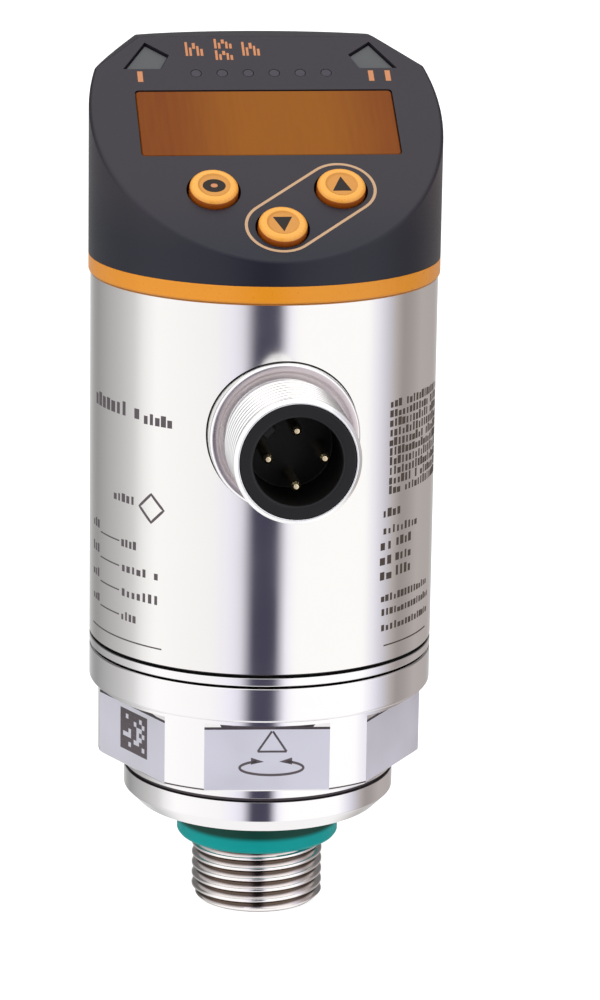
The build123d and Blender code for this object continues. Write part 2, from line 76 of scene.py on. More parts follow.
def newMaterial(name, shaderSettings):
    material = bpy.data.materials.new(name)
    material.use_nodes = True
    tree = material.node_tree
    shader = tree.nodes["Principled BSDF"]
    for socket, value in shaderSettings.items():
        shader.inputs[socket].default_value = value
    return material, tree, shader, addNode(tree, "ShaderNodeTexCoord").outputs["Object"]


def newTree(name, inputs):
    # a Geometry Nodes tree with named inputs; returns it and its inputs' sockets by name
    tree = bpy.data.node_groups.new(name, "GeometryNodeTree")
    tree.interface.new_socket(name="Geometry", in_out="OUTPUT", socket_type="NodeSocketGeometry")
    for kind, labels in {"Geometry": ["Geometry"], "Material": ["Material"], **inputs}.items():
        for label in labels:
            tree.interface.new_socket(name=label, in_out="INPUT", socket_type="NodeSocket" + kind)
    return tree, dict(tree.nodes.new("NodeGroupInput").outputs.items())


def endTree(tree, known, geometry):
    real = addNode(tree, "GeometryNodeRealizeInstances", links={"Geometry": geometry})
    painted = addNode(tree, "GeometryNodeSetMaterial",
                      links={"Geometry": real, "Material": known["Material"]})
    addNode(tree, "NodeGroupOutput", links={"Geometry": painted})


def runTree(piece, tree, values):
    # sets the inputs by identifier, turns the result into a plain mesh and removes the modifier
    modifier = piece.modifiers.new(tree.name, "NODES")
    modifier.node_group = tree
    for item in tree.interface.items_tree:
        if item.in_out == "INPUT" and item.name in values:
            modifier[item.identifier] = values[item.name]
    return bakeModifiers(piece)


# small helpers for meshes; all sizes given to them are in millimetres

def bakeModifiers(piece):
    graph = bpy.context.evaluated_depsgraph_get()
    data = bpy.data.meshes.new_from_object(piece.evaluated_get(graph), depsgraph=graph)
    piece.modifiers.clear()
    piece.data = data
    return piece


def newPiece(name, data=None):
    piece = bpy.data.objects.new(name, data or bpy.data.meshes.new(name))
    bpy.context.scene.collection.objects.link(piece)
    return piece


def finishMesh(mesh, name, sharpAngle=32):
    bmesh.ops.remove_doubles(mesh, verts=mesh.verts, dist=1e-7)
    bmesh.ops.recalc_face_normals(mesh, faces=mesh.faces)
    for face in mesh.faces:
        face.smooth = True
    for edge in mesh.edges:
        if len(edge.link_faces) == 2 and edge.calc_face_angle(0) > math.radians(sharpAngle):
            edge.smooth = False
    data = bpy.data.meshes.new(name)
    mesh.to_mesh(data)
    mesh.free()
    return newPiece(name, data)


def tidyMesh(piece, sharpAngle=32):
    mesh = bmesh.new()
    mesh.from_mesh(piece.data)
    materials = list(piece.data.materials)
    name = piece.name
    bpy.data.objects.remove(piece)
    piece = finishMesh(mesh, name, sharpAngle)
    for material in materials:
        piece.data.materials.append(material)
    return piece


def paintFaces(piece, names, choose, place=Matrix()):
    # choose gives a face's finish by its reach from the axis, its height along it and its normal
    back = place.inverted()
    for name in names:
        piece.data.materials.append(finishes[name])
    for face in piece.data.polygons:
        spot = back @ face.center
        face.material_index = int(choose(math.hypot(spot.x, spot.y) / mm, spot.z / mm, face.normal))


def settle(piece, finish, body, slot, *replaced):
    # no finish is given where the piece has its own already
    if finish:
        piece.data.materials.clear()
        piece.data.materials.append(finishes[finish])
    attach(piece, body)
    if replaced:
        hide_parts(*replaced)


def roundedOutline(corners):
    # corners are (radius, height, rounding); a rounding gets an arc and, on a long side, a close point
    steps, hold, room = 4, 1.4, 2.5
    outline = []
    for i, (r, z, rounding) in enumerate(corners):
        here = Vector((r, z))
        if rounding == 0:
            outline.append(here)
            continue
        back = Vector(corners[i - 1][:2]) - here
        ahead = Vector(corners[(i + 1) % len(corners)][:2]) - here
        backLength, aheadLength = back.length, ahead.length
        back.normalize()
        ahead.normalize()
        half = back.angle(ahead) / 2
        reach = rounding / math.tan(half)
        centre = here + (back + ahead).normalized() * (rounding / math.sin(half))
        first, last = here + back * reach, here + ahead * reach
        if backLength > reach * room:
            outline.append(here + back * reach * hold)
        turn = (first - centre).angle_signed(last - centre)
        for k in range(steps + 1):
            spoke = first - centre
            spoke.rotate(Matrix.Rotation(-turn * k / steps, 2))
            outline.append(centre + spoke)
        if aheadLength > reach * room:
            outline.append(here + ahead * reach * hold)
    return outline


def joinRings(mesh, rings, looped=True):
    # faces between each row of points and the next; the equal points of a pole count once
    made = []
    for low, high in zip(rings, rings[1:]):
        for i in range(len(low) if looped else len(low) - 1):
            j = (i + 1) % len(low)
            corners = list(dict.fromkeys((low[i], low[j], high[j], high[i])))
            if len(corners) > 2:
                made.append(mesh.faces.new(corners))
    return made


def moveFaces(mesh, faces, place):
    bmesh.ops.transform(mesh, matrix=place, verts=list({v for f in faces for v in f.verts}))


def addLathe(mesh, corners, around, place):
    # a corner at radius 0 closes the shape on its axis
    turns = [2 * math.pi * i / around for i in range(around)]
    rings = []
    for r, z in roundedOutline(corners):
        if r < 1e-6:
            rings.append([mesh.verts.new((0, 0, z * mm))] * around)
        else:
            rings.append([mesh.verts.new((r * mm * math.cos(a), r * mm * math.sin(a), z * mm))
                          for a in turns])
    moveFaces(mesh, joinRings(mesh, rings + rings[:1]), place)


def lathePiece(name, corners, around=192, place=Matrix()):
    mesh = bmesh.new()
    addLathe(mesh, corners, around, place)
    return finishMesh(mesh, name)


def addPrism(mesh, outline, low, high, edge, place):
    # edge is a small chamfer round the top
    leastHalf = 0.4
    points = [Vector(p) for p in outline]
    middle = sum(points, Vector((0, 0))) / len(points)
    inset = []
    for i, p in enumerate(points):
        before, after = points[i - 1] - p, points[(i + 1) % len(points)] - p
        inward = before.normalized() + after.normalized()
        if inward.length < 1e-4 or inward.dot(middle - p) < 0:
            inward = middle - p
        half = max(before.angle(after) / 2, leastHalf)
        inset.append(p + inward.normalized() * (edge / math.sin(half)))
    rings = [[mesh.verts.new((x * mm, y * mm, z * mm)) for x, y in ring]
             for ring, z in ((outline, low), (outline, high - edge), (inset, high))]
    caps = [mesh.faces.new(rings[0]), mesh.faces.new(rings[-1])]
    moveFaces(mesh, caps + joinRings(mesh, rings), place)


def addLine(mesh, path, width, low, high, lay, closed=False):
    # a thin flat line along a path; lay turns a point of the path and a height into a place
    count = len(path)
    outer, inner = [], []
    for i, p in enumerate(path):
        before = path[i - 1] if closed or i > 0 else p
        after = path[(i + 1) % count] if closed or i < count - 1 else p
        along = (Vector(after) - Vector(before)).normalized()
        side = Vector((along.y, -along.x)) * width / 2
        outer.append(Vector(p) + side)
        inner.append(Vector(p) - side)
    rings = [[mesh.verts.new(lay(p.x, p.y, z)) for p in points]
             for points, z in ((outer, low), (outer, high), (inner, high), (inner, low))]
    joinRings(mesh, rings + rings[:1], closed)
    if not closed:
        mesh.faces.new([ring[0] for ring in rings])
        mesh.faces.new([ring[-1] for ring in rings])


def onPlane(place):
    return lambda x, y, z: place @ Vector((x * mm, y * mm, z * mm))


def arc(centre, wide, high, start, sweep, steps):
    # points along part of an ellipse; angles in degrees
    turns = [math.radians(start + sweep * k / steps) for k in range(steps + 1)]
    return [(centre[0] + wide * math.cos(a), centre[1] + high * math.sin(a)) for a in turns]


def rectangle(left, low, right, high):
    return [(left, low), (right, low), (right, high), (left, high)]


# finishes

def steel(name, colour, roughness, markPitch, markDepth, stretch):
    # stainless steel: a bright mirror with fine tool marks, a little duller in patches
    material, tree, shader, place = newMaterial(
        name, {"Base Color": toLinear(colour), "Metallic": 1.0, "Roughness": roughness})
    scaled = addNode(tree, "ShaderNodeMapping", {"Scale": stretch}, {"Vector": place})
    marks = addNode(tree, "ShaderNodeTexNoise", {"Scale": 1 / (markPitch * mm), "Detail": 2.0},
                    {"Vector": scaled})
    cloud = addNode(tree, "ShaderNodeTexNoise", {"Scale": 1 / (9 * mm), "Detail": 3.0}, {"Vector": place})
    dull = addNode(tree, "ShaderNodeMapRange", {
        "From Min": 0.35, "From Max": 0.7, "To Min": roughness * 0.85, "To Max": roughness * 1.25},
        {"Value": cloud})
    bump = addNode(tree, "ShaderNodeBump", {"Strength": 0.35, "Distance": markDepth * mm}, {"Height": marks})
    link(shader, {"Roughness": dull, "Normal": bump})
    return material


def plastic(name, colour, lighter, roughness, grainSize, grainDepth, specular=0.5):
    # injection-moulded plastic: even colour, a fine grain from the mould that breaks the highlight
    material, tree, shader, place = newMaterial(name, {
        "Base Color": toLinear(colour), "Roughness": roughness, "IOR": 1.52, "Specular IOR Level": specular})
    grain = addNode(tree, "ShaderNodeTexNoise", {"Scale": 1 / (grainSize * mm), "Detail": 2.0},
                    {"Vector": place})
    cloud = addNode(tree, "ShaderNodeTexNoise", {"Scale": 1 / (6 * mm), "Detail": 2.0}, {"Vector": place})
    blend = addNode(tree, "ShaderNodeMix", {"data_type": "RGBA", 6: toLinear(colour), 7: toLinear(lighter)},
                    {"Factor": cloud})
    rough = addNode(tree, "ShaderNodeMapRange", {
        "From Min": 0.3, "From Max": 0.7, "To Min": roughness * 0.9, "To Max": roughness * 1.1},
        {"Value": grain})
    bump = addNode(tree, "ShaderNodeBump", {"Strength": 0.4, "Distance": grainDepth * mm}, {"Height": grain})
    link(shader, {"Base Color": blend, "Roughness": rough, "Normal": bump})
    return material


def amberPlastic(name, deep, pale):
    # smoked amber polycarbonate with faint upright streaks, and painted light: pale in the middle, deeper
    # towards the ends
    material, tree, shader, place = newMaterial(name, {"Roughness": 0.2, "Specular IOR Level": 0.11})
    spot = addNode(tree, "ShaderNodeSeparateXYZ", links={0: place})
    aside = addNode(tree, "ShaderNodeMath", {"operation": "ADD", 1: -1.5 * mm}, {0: spot.outputs["X"]})
    far = addNode(tree, "ShaderNodeMath", {"operation": "ABSOLUTE"}, {0: aside})
    fade = addNode(tree, "ShaderNodeMapRange", {
        "interpolation_type": "SMOOTHSTEP", "From Min": 3 * mm, "From Max": 12 * mm,
        "To Min": 1.0, "To Max": 0.15}, {"Value": far})
    stretched = addNode(tree, "ShaderNodeMapping", {"Scale": (1.0, 0.08, 0.08)}, {"Vector": place})
    streaks = addNode(tree, "ShaderNodeTexNoise", {"Scale": 1 / (0.5 * mm), "Detail": 2.0},
                      {"Vector": stretched})
    amount = addNode(tree, "ShaderNodeMapRange", {
        "From Min": 0.35, "From Max": 0.65, "To Min": -0.07, "To Max": 0.07}, {"Value": streaks})
    both = addNode(tree, "ShaderNodeMath", {"operation": "ADD", "use_clamp": True}, {0: fade, 1: amount})
    blend = addNode(tree, "ShaderNodeMix", {"data_type": "RGBA", 6: toLinear(deep), 7: toLinear(pale)},
                    {"Factor": both})
    link(shader, {"Base Color": blend})
    return material


def shade(name, axis, start, end, colour):
    # blends a finish towards another colour along an axis, or by the distance from the Z axis; used for
    # painted shade and painted reflection, and for the print's own colour
    tree = finishes[name].node_tree
    base = tree.nodes["Principled BSDF"].inputs["Base Color"]
    place = next(n for n in tree.nodes if n.bl_idname == "ShaderNodeTexCoord").outputs["Object"]
    if axis == "radius":
        level = addNode(tree, "ShaderNodeVectorMath", {"operation": "MULTIPLY", 1: (1.0, 1.0, 0.0)},
                        {0: place})
        spot = addNode(tree, "ShaderNodeVectorMath", {"operation": "LENGTH"}, {0: level})
    else:
        spot = addNode(tree, "ShaderNodeSeparateXYZ", links={0: place}).outputs[axis]
    amount = addNode(tree, "ShaderNodeMapRange", {
        "interpolation_type": "SMOOTHSTEP", "From Min": start * mm, "From Max": end * mm}, {"Value": spot})
    blend = addNode(tree, "ShaderNodeMix", {"data_type": "RGBA", 6: base.default_value, 7: toLinear(colour)},
                    {"Factor": amount})
    if base.is_linked:
        link(blend, {6: base.links[0].from_socket})
    link(tree.nodes["Principled BSDF"], {"Base Color": blend})


finishTable = {
    # steels: colour, roughness, pitch and depth of the tool marks in mm, and how the marks are stretched
    # polished tube: long soft-edged bands of the studio run down it
    "polishedStainless": (steel, "#e6e4e2", 0.13, 0.35, 0.002, (0.05, 0.05, 1.0)),
    # turned fitting: the same steel, with rings left by the lathe
    "turnedStainless": (steel, "#eae8e8", 0.12, 0.3, 0.002, (0.03, 0.03, 1.0)),
    # milled flats: blurred, even and slightly lavender
    "milledStainless": (steel, "#e6e5ee", 0.58, 0.25, 0.004, (1.0, 1.0, 0.2)),
    # painted shade: a dark steel for thin lines under the hexagon's shoulder, round its foot, in the collar's
    # groove and round the tube's foot
    "edgeStainless": (steel, "#5e585c", 0.5, 0.3, 0.003, (1.0, 1.0, 1.0)),
    # rolled thread: warmer, with painted shade in its roots
    "threadStainless": (steel, "#f4efee", 0.18, 0.3, 0.002, (0.05, 0.05, 1.0)),
    # faced ring of the connector: duller than its barrel, and darker and pinker by painted reflection
    "facedStainless": (steel, "#cfc5c6", 0.3, 0.5, 0.006, (0.25, 1.0, 0.25)),
    # connector barrel: nickel-bright
    "connectorStainless": (steel, "#fafafa", 0.28, 0.3, 0.002, (0.05, 1.0, 0.05)),
    # plastics: two colours, roughness, size and depth of the grain in mm, and sometimes the specular level
    # etched print: matt grey marks in the steel
    "etchedMark": (plastic, "#524a4f", "#60575b", 0.6, 0.2, 0.004),
    # dark polyamide head: charcoal with a faint violet tone
    "charcoalPlastic": (plastic, "#241f28", "#28232c", 0.4, 0.18, 0.008, 0.36),
    # orange polycarbonate ring: satin, takes the light at its sides
    "orangePlastic": (plastic, "#ec9208", "#f29c10", 0.3, 0.3, 0.003),
    # orange soft-touch push buttons, with a painted highlight on the edge and painted shade on the side
    "orangeButton": (plastic, "#c8842a", "#cf8e34", 0.34, 0.25, 0.004),
    "orangeRim": (plastic, "#f0a238", "#f4ad48", 0.28, 0.25, 0.004),
    "orangeWall": (plastic, "#a8500e", "#b05a14", 0.4, 0.25, 0.004),
    # dark print on the buttons
    "glyphInk": (plastic, "#1a110b", "#22170f", 0.5, 0.2, 0.002, 0.3),
    # light orange print on the head
    "paleInk": (plastic, "#bc9670", "#c4a07c", 0.5, 0.2, 0.002),
    "orangeInk": (plastic, "#c07a4a", "#c88456", 0.5, 0.2, 0.002),
    # smoked amber window with its own gloss
    "amberWindow": (amberPlastic, "#74380a", "#8d5210"),
    # frosted grey light windows in the corners
    "frostedWindow": (plastic, "#4b4e51", "#565758", 0.4, 0.3, 0.006, 0.3),
    # unlit light pipes
    "dimPipe": (plastic, "#2f2b36", "#38333e", 0.42, 0.3, 0.002, 0.4),
    # green fluorocarbon seal: dense teal rubber with a soft sheen
    "greenRubber": (plastic, "#00aaa7", "#00b6b1", 0.45, 0.3, 0.006, 0.2),
    # black contact carrier: satin black polyurethane, with a painted highlight on its front rim
    "blackPlastic": (plastic, "#0b0a09", "#100f0e", 0.5, 0.25, 0.006, 0.25),
    "carrierRim": (plastic, "#17171a", "#1c1c1f", 0.42, 0.25, 0.006, 0.26),
    # gold flash on the contact pins
    "goldPlate": (steel, "#ead9b4", 0.2, 0.3, 0.002, (1.0, 0.1, 1.0)),
    # hidden pieces
    "blackRubber": (plastic, "#141414", "#1b1b1b", 0.6, 0.3, 0.01),
    "innerPlastic": (plastic, "#2a2c30", "#303338", 0.5, 0.3, 0.01),
    "whiteLed": (plastic, "#dcdcd2", "#e6e6dc", 0.35, 0.3, 0.004),
    "displayBlack": (plastic, "#0d0d10", "#131317", 0.22, 0.5, 0.002),
    "switchBlack": (plastic, "#17181a", "#1e1f22", 0.45, 0.3, 0.006),
    "chipBlack": (plastic, "#1b1b1d", "#232326", 0.55, 0.2, 0.008),
    "circuitBoard": (plastic, "#14512f", "#1a5f38", 0.35, 0.5, 0.006),
    "flexAmber": (plastic, "#a8641c", "#b57226", 0.35, 0.5, 0.004),
    "greySheath": (plastic, "#6c6f72", "#777a7d", 0.5, 0.3, 0.008),
    "whiteCeramic": (plastic, "#dedad0", "#e6e2d8", 0.3, 0.2, 0.004),
    "springSteel": (steel, "#b5b2ad", 0.28, 0.3, 0.003, (1.0, 1.0, 0.2)),
    "tinnedWire": (steel, "#c9c7c0", 0.3, 0.3, 0.003, (1.0, 0.1, 1.0)),
    "capacitorCan": (steel, "#b9b9bb", 0.3, 0.4, 0.003, (1.0, 0.1, 1.0)),
}
finishes = {name: make(name, *values) for name, (make, *values) in finishTable.items()}
# painted shade: the thread goes dark in its roots
shade("threadStainless", "radius", 6.22, 5.99, "#5c4e44")
shade("etchedMark", "X", 2.0, 10.0, "#43362c")
# painted reflection: the head goes darker and bluer towards its foot
shade("charcoalPlastic", "Z", 64.0, 58.0, "#0f1222")
# painted shade: the seal goes dark at its top, under the collar
shade("greenRubber", "Z", -2.7, -2.1, "#00463a")
print("finishes made,", len(finishes))


# process fitting: spigot, collar, flange and neck, turned; hexagon milled

fitting = {
    "spigotEnd": -10.65, "threadTop": -3.87, "crestRadius": 6.5785, "threadDepth": 0.62, "threadPitch": 1.1,
    "tipRadius": 5.98, "coreRadius": 5.4, "portRadius": 2.0, "sealNeckRadius": 5.7,
    "recessRadius": 8.15, "recessDepth": 0.4, "collarRadius": 13.5, "collarChamfer": 1.4,
    "markGroove": 3.6, "markDepth": 0.34, "markMouth": 0.22, "markFloor": 0.13, "markInner": 13.0,
    "markOuter": 13.46, "markHalf": 0.24,
    "hexBottom": 5.0, "flatTop": 11.6, "hexTop": 12.6, "acrossFlats": 29.8, "acrossRounds": 32.2,
    "hexTurn": -3.8, "flatSteps": 8, "roundSteps": 7,
    # rings of the flats: how far inside the outline, and height; of the round shoulder: radius and height
    "flatRings": [(4.2, 5.0), (0.2, 5.0), (0.0, 5.2), (0.0, 5.35), (0.0, 11.34), (0.0, 11.6)],
    "shoulderRings": [(16.1, 12.02), (16.1, 12.15), (16.1, 12.9), (11.0, 12.9)],
    "flangeTop": 16.05, "bodyRadius": 17.0, "neckRadius": 12.0, "neckTop": 29.65,
    "sealGroove": (10.6, 19.7, 21.3), "clipGroove": (11.2, 25.6, 26.7),
    "chamberRadius": 9.3, "chamberFloor": 6.0,
}


def fittingCorners(f):
    collar, neck, mark, shoulder = f["collarRadius"], f["neckRadius"], f["markGroove"], f["threadTop"] - 0.3
    corners = [
        (f["portRadius"], f["spigotEnd"], 0.15), (f["coreRadius"], f["spigotEnd"], 0.05),
        (f["coreRadius"], shoulder, 0), (f["sealNeckRadius"], shoulder, 0),
        (f["sealNeckRadius"], f["recessDepth"], 0.05), (f["recessRadius"], f["recessDepth"], 0.05),
        (f["recessRadius"], 0, 0.08), (collar - f["collarChamfer"], 0, 0.15),
        (collar, f["collarChamfer"], 0.2), (collar, mark - f["markMouth"], 0.04),
        (collar - f["markDepth"], mark - f["markFloor"], 0.05),
        (collar - f["markDepth"], mark + f["markFloor"], 0.05), (collar, mark + f["markMouth"], 0.04),
        (collar, f["hexTop"], 0), (f["bodyRadius"], f["hexTop"], 0.28),
        (f["bodyRadius"], f["flangeTop"], 0.18), (neck, f["flangeTop"], 0.1),
    ]
    for floor, low, high in (f["sealGroove"], f["clipGroove"]):
        corners += [(neck, low, 0.05), (floor, low, 0.05), (floor, high, 0.05), (neck, high, 0.05)]
    return corners + [(neck, f["neckTop"], 0.2), (f["chamberRadius"], f["neckTop"], 0.1),
                      (f["chamberRadius"], f["chamberFloor"], 0.2), (f["portRadius"], f["chamberFloor"], 0.1)]


def hexRing(f, shrink):
    # one turn round the hexagon with its corners turned off to a round
    flat, corner = f["acrossFlats"] / 2 - shrink, f["acrossRounds"] / 2 - shrink
    reach = math.degrees(math.acos(flat / corner))
    ring = []
    for side in range(6):
        middle = f["hexTurn"] - 90 + 60 * side
        for step in range(f["flatSteps"] + 1):
            angle = math.radians(middle - reach + 2 * reach * step / f["flatSteps"])
            r = flat / math.cos(angle - math.radians(middle))
            ring.append((r * math.cos(angle), r * math.sin(angle)))
        for step in range(1, f["roundSteps"]):
            angle = math.radians(middle + reach + (60 - 2 * reach) * step / f["roundSteps"])
            ring.append((corner * math.cos(angle), corner * math.sin(angle)))
    return ring


def hexFinish(reach, height, normal):
    # 0 is turned, 1 a milled flat, 2 painted shade: a dark line at the top of each flat under the shoulder,
    # and round the foot of the rounds
    level = Vector((normal.x, normal.y))
    if level.length <= 0.99:
        return 0
    angle = math.degrees(math.atan2(level.y, level.x)) - fitting["hexTurn"] + 90
    if abs((angle + 30) % 60 - 30) < 1.0:
        return 2 if height > fitting["flatTop"] - 0.2 else 1
    return 2 if height < fitting["hexBottom"] + 0.3 else 0


turned = lathePiece("turned_fitting", fittingCorners(fitting), 256)
# painted shade: the faces in the collar's groove get the dark steel
paintFaces(turned, ("turnedStainless", "edgeStainless"), lambda reach, height, normal: (
    fitting["markInner"] < reach < fitting["markOuter"]
    and abs(height - fitting["markGroove"]) < fitting["markHalf"]))
settle(turned, None, "root", "stainless_turned", "process_fitting")

mesh = bmesh.new()
rings = []
for shrink, z in fitting["flatRings"]:
    rings.append([mesh.verts.new((x * mm, y * mm, z * mm)) for x, y in hexRing(fitting, shrink)])
# above the flats the milling leaves a round shoulder
for reach, z in fitting["shoulderRings"]:
    outline = [(x, y, reach / math.hypot(x, y) * mm) for x, y in hexRing(fitting, 0.0)]
    rings.append([mesh.verts.new((x * out, y * out, z * mm)) for x, y, out in outline])
joinRings(mesh, rings + rings[:1])
hexagon = finishMesh(mesh, "hexagon", 12)
# painted shade on the hexagon: thin dark lines at the top of the flats and round the foot
paintFaces(hexagon, ("turnedStainless", "milledStainless", "edgeStainless"), hexFinish)
settle(hexagon, None, "root", "stainless_turned")


def flatPlace(turn):
    # local X runs along the flat, Y up and Z out of it
    return (Matrix.Rotation(math.radians(turn), 4, "Z")
            @ Matrix.Translation((0, -fitting["acrossFlats"] / 2 * mm, 0))
            @ Matrix.Rotation(math.pi / 2, 4, "X"))


# etched fields on the flats: a square of random cells, and a plain triangle over a turning arrow at the front
ink = {"low": -0.02, "high": 0.015, "onTube": 0.02}
cells = {"x": -2.15, "up": 6.7, "wide": 5.0, "high": 4.2, "columns": 10, "rows": 9, "gap": 0.01,
         "filled": 0.66, "seed": 11}
triangle = {"x": 0.5, "foot": 9.1, "half": 1.4, "top": 11.15, "topHalf": 0.05, "stroke": 0.2}
arrow = {"x": 0.45, "up": 7.45, "wide": 3.1, "high": 0.74, "stroke": 0.24, "start": 118, "sweep": 304,
         "tip": (0.75, 0.62), "barb": (1.25, 0.42, -0.3)}
mesh = bmesh.new()
chance = random.Random(cells["seed"])
wide, tall = cells["wide"] / cells["columns"], cells["high"] / cells["rows"]
for column in range(cells["columns"]):
    for row in range(cells["rows"]):
        border = column in (0, cells["columns"] - 1) or row in (0, cells["rows"] - 1)
        if border or chance.random() < cells["filled"]:
            left, low = cells["x"] + column * wide, cells["up"] + row * tall
            addPrism(mesh, rectangle(left, low, left + wide - cells["gap"], low + tall - cells["gap"]),
                     ink["low"], ink["high"], 0.005, flatPlace(fitting["hexTurn"] - 60))
front = flatPlace(fitting["hexTurn"])
middle, foot, half = triangle["x"], triangle["foot"], triangle["half"]
strokes = [([(middle - half, foot), (middle + half, foot)], triangle["stroke"])]
for side in (-1, 1):
    strokes.append(([(middle + side * half, foot), (middle + side * triangle["topHalf"], triangle["top"])],
                    triangle["stroke"]))
turning = arc((arrow["x"], arrow["up"]), arrow["wide"], arrow["high"], arrow["start"], arrow["sweep"], 48)
strokes.append((turning, arrow["stroke"]))
for path, width in strokes:
    addLine(mesh, path, width, ink["low"], ink["high"], onPlane(front))
for side in (-1, 1):
    x, y = arrow["x"] + side * arrow["tip"][0], arrow["up"] + arrow["tip"][1]
    back = x + side * arrow["barb"][0]
    barb = [(x, y), (back, y + arrow["barb"][1]), (back, y + arrow["barb"][2])]
    addPrism(mesh, barb if side < 0 else barb[::-1], ink["low"], ink["high"], 0.005, front)
settle(finishMesh(mesh, "flat_marks", 20), "etchedMark", "root", "stainless_turned")

# screw thread: a grid sheared along its helix, so that its rows follow the crests
threadTree, given = newTree("screwThread", {
    "Float": ["Crest Radius", "Depth", "Pitch", "Bottom", "Top", "Tip Radius"],
    "Int": ["Around", "Rows", "Rows Per Turn"]})
grid = addNode(threadTree, "GeometryNodeMeshGrid", {"Size X": 1.0, "Size Y": 1.0},
               {"Vertices X": given["Around"], "Vertices Y": given["Rows"]})
spot = addNode(threadTree, "ShaderNodeSeparateXYZ",
               links={0: addNode(threadTree, "GeometryNodeInputPosition")})
given.update({"gridX": spot.outputs["X"], "gridY": spot.outputs["Y"]})
addSteps(threadTree, given, "ShaderNodeMath", [
    ("turn", "ADD", "gridX", 0.5),
    ("angle", "MULTIPLY", "turn", 2 * math.pi),
    ("share", "ADD", "gridY", 0.5),
    ("lastRow", "SUBTRACT", "Rows", 1.0),
    ("rawRow", "MULTIPLY", "share", "lastRow"),
    ("row", "ROUND", "rawRow"),
    ("inTurns", "DIVIDE", "row", "Rows Per Turn"),
    ("phase", "FRACT", "inTurns"),
    ("flank", "PINGPONG", "phase", 0.5),
])
given["rise"] = addNode(threadTree, "ShaderNodeMapRange", {
    "interpolation_type": "SMOOTHSTEP", "From Min": 0.05, "From Max": 0.45}, {"Value": given["flank"]})
addSteps(threadTree, given, "ShaderNodeMath", [
    ("root", "SUBTRACT", "Crest Radius", "Depth"),
    ("formed", "MULTIPLY_ADD", "rise", "Depth", "root"),
    ("climb", "ADD", "inTurns", -1.0),
    ("turnsUp", "ADD", "climb", "turn"),
    ("freeHeight", "MULTIPLY_ADD", "turnsUp", "Pitch", "Bottom"),
    ("floorHeight", "MAXIMUM", "freeHeight", "Bottom"),
    ("height", "MINIMUM", "floorHeight", "Top"),
    ("miss", "SUBTRACT", "freeHeight", "height"),
    ("missSize", "ABSOLUTE", "miss"),
    ("outside", "GREATER_THAN", "missSize", 1e-7),
    ("overTip", "SUBTRACT", "height", "Bottom"),
    ("tip", "ADD", "overTip", "Tip Radius"),
    ("chamfered", "MINIMUM", "formed", "tip"),
    # the first and last rows fold inwards and meet, which closes the shape
    ("fromStart", "LESS_THAN", "row", 0.5),
    ("beforeLast", "SUBTRACT", "lastRow", 0.5),
    ("fromEnd", "GREATER_THAN", "row", "beforeLast"),
    ("closing", "MAXIMUM", "fromStart", "fromEnd"),
    ("innerRadius", "SUBTRACT", "root", 0.3 * mm),
    ("span", "ADD", "Bottom", "Top"),
    ("halfWay", "MULTIPLY", "span", 0.5),
])
for name, factor, first, second in (("outerRadius", "outside", "chamfered", "root"),
                                    ("radius", "closing", "outerRadius", "innerRadius"),
                                    ("level", "closing", "height", "halfWay")):
    given[name] = addNode(threadTree, "ShaderNodeMix", {"data_type": "FLOAT"},
                          {"Factor": given[factor], 2: given[first], 3: given[second]})
addSteps(threadTree, given, "ShaderNodeMath", [
    ("cosine", "COSINE", "angle"),
    ("sine", "SINE", "angle"),
    ("across", "MULTIPLY", "cosine", "radius"),
    ("along", "MULTIPLY", "sine", "radius"),
])
wound = addNode(threadTree, "ShaderNodeCombineXYZ",
                links={0: given["across"], 1: given["along"], 2: given["level"]})
placed = addNode(threadTree, "GeometryNodeSetPosition", links={"Geometry": grid, "Position": wound})
endTree(threadTree, given,
        addNode(threadTree, "GeometryNodeMergeByDistance", {"Distance": 0.0005 * mm}, {"Geometry": placed}))


def threadPiece(name, settings, crest, bottom, top, tipRadius, finish):
    pitch, perTurn = settings["threadPitch"], 14
    piece = runTree(newPiece(name), threadTree, {
        "Crest Radius": crest * mm, "Depth": settings["threadDepth"] * mm, "Pitch": pitch * mm,
        "Bottom": bottom * mm, "Top": top * mm, "Tip Radius": tipRadius * mm, "Around": 145,
        "Rows": perTurn * (math.ceil((top - bottom) / pitch) + 2) + 3, "Rows Per Turn": perTurn,
        "Material": finishes[finish],
    })
    return tidyMesh(piece, 60)


spigotThread = threadPiece("spigot_thread", fitting, fitting["crestRadius"], fitting["spigotEnd"] + 0.02,
                           fitting["threadTop"], fitting["tipRadius"], "threadStainless")
settle(spigotThread, None, "root", "stainless_turned")
print("process fitting made")


# green seal and the ring under the tube

seal = {"inner": 5.75, "outer": 8.1, "height": 3.85, "seated": 0.38, "taper": 0.22}
settle(lathePiece("green_seal", [
    (seal["inner"], -seal["height"], 0.2),
    (seal["outer"] - seal["taper"], -seal["height"], 0.12),
    (seal["outer"], -seal["height"] + 0.3, 0.15),
    (seal["outer"], -seal["height"] / 2, 0.6),
    (seal["outer"] - seal["taper"], -0.1, 0.2),
    (seal["outer"] - seal["taper"], seal["seated"], 0.1),
    (seal["inner"], seal["seated"], 0.1),
]), "greenRubber", "root", "green_rubber", "thread_seal")

bush = {"bore": 12.05, "lipBottom": 16.28, "lipTop": 17.12, "tubeBottom": 17.35, "top": 25.35,
        "lipRadius": 17.0, "grooveRadius": 16.2, "inTube": 15.45}
swivel = lathePiece("swivel_ring", [
    (bush["bore"], bush["lipBottom"], 0.1), (bush["lipRadius"], bush["lipBottom"], 0.12),
    (bush["lipRadius"], bush["lipTop"], 0.12), (bush["grooveRadius"], bush["lipTop"], 0.05),
    (bush["grooveRadius"], bush["tubeBottom"], 0), (bush["inTube"], bush["tubeBottom"], 0),
    (bush["inTube"], bush["top"], 0.2), (bush["bore"], bush["top"], 0.2),
], 256)
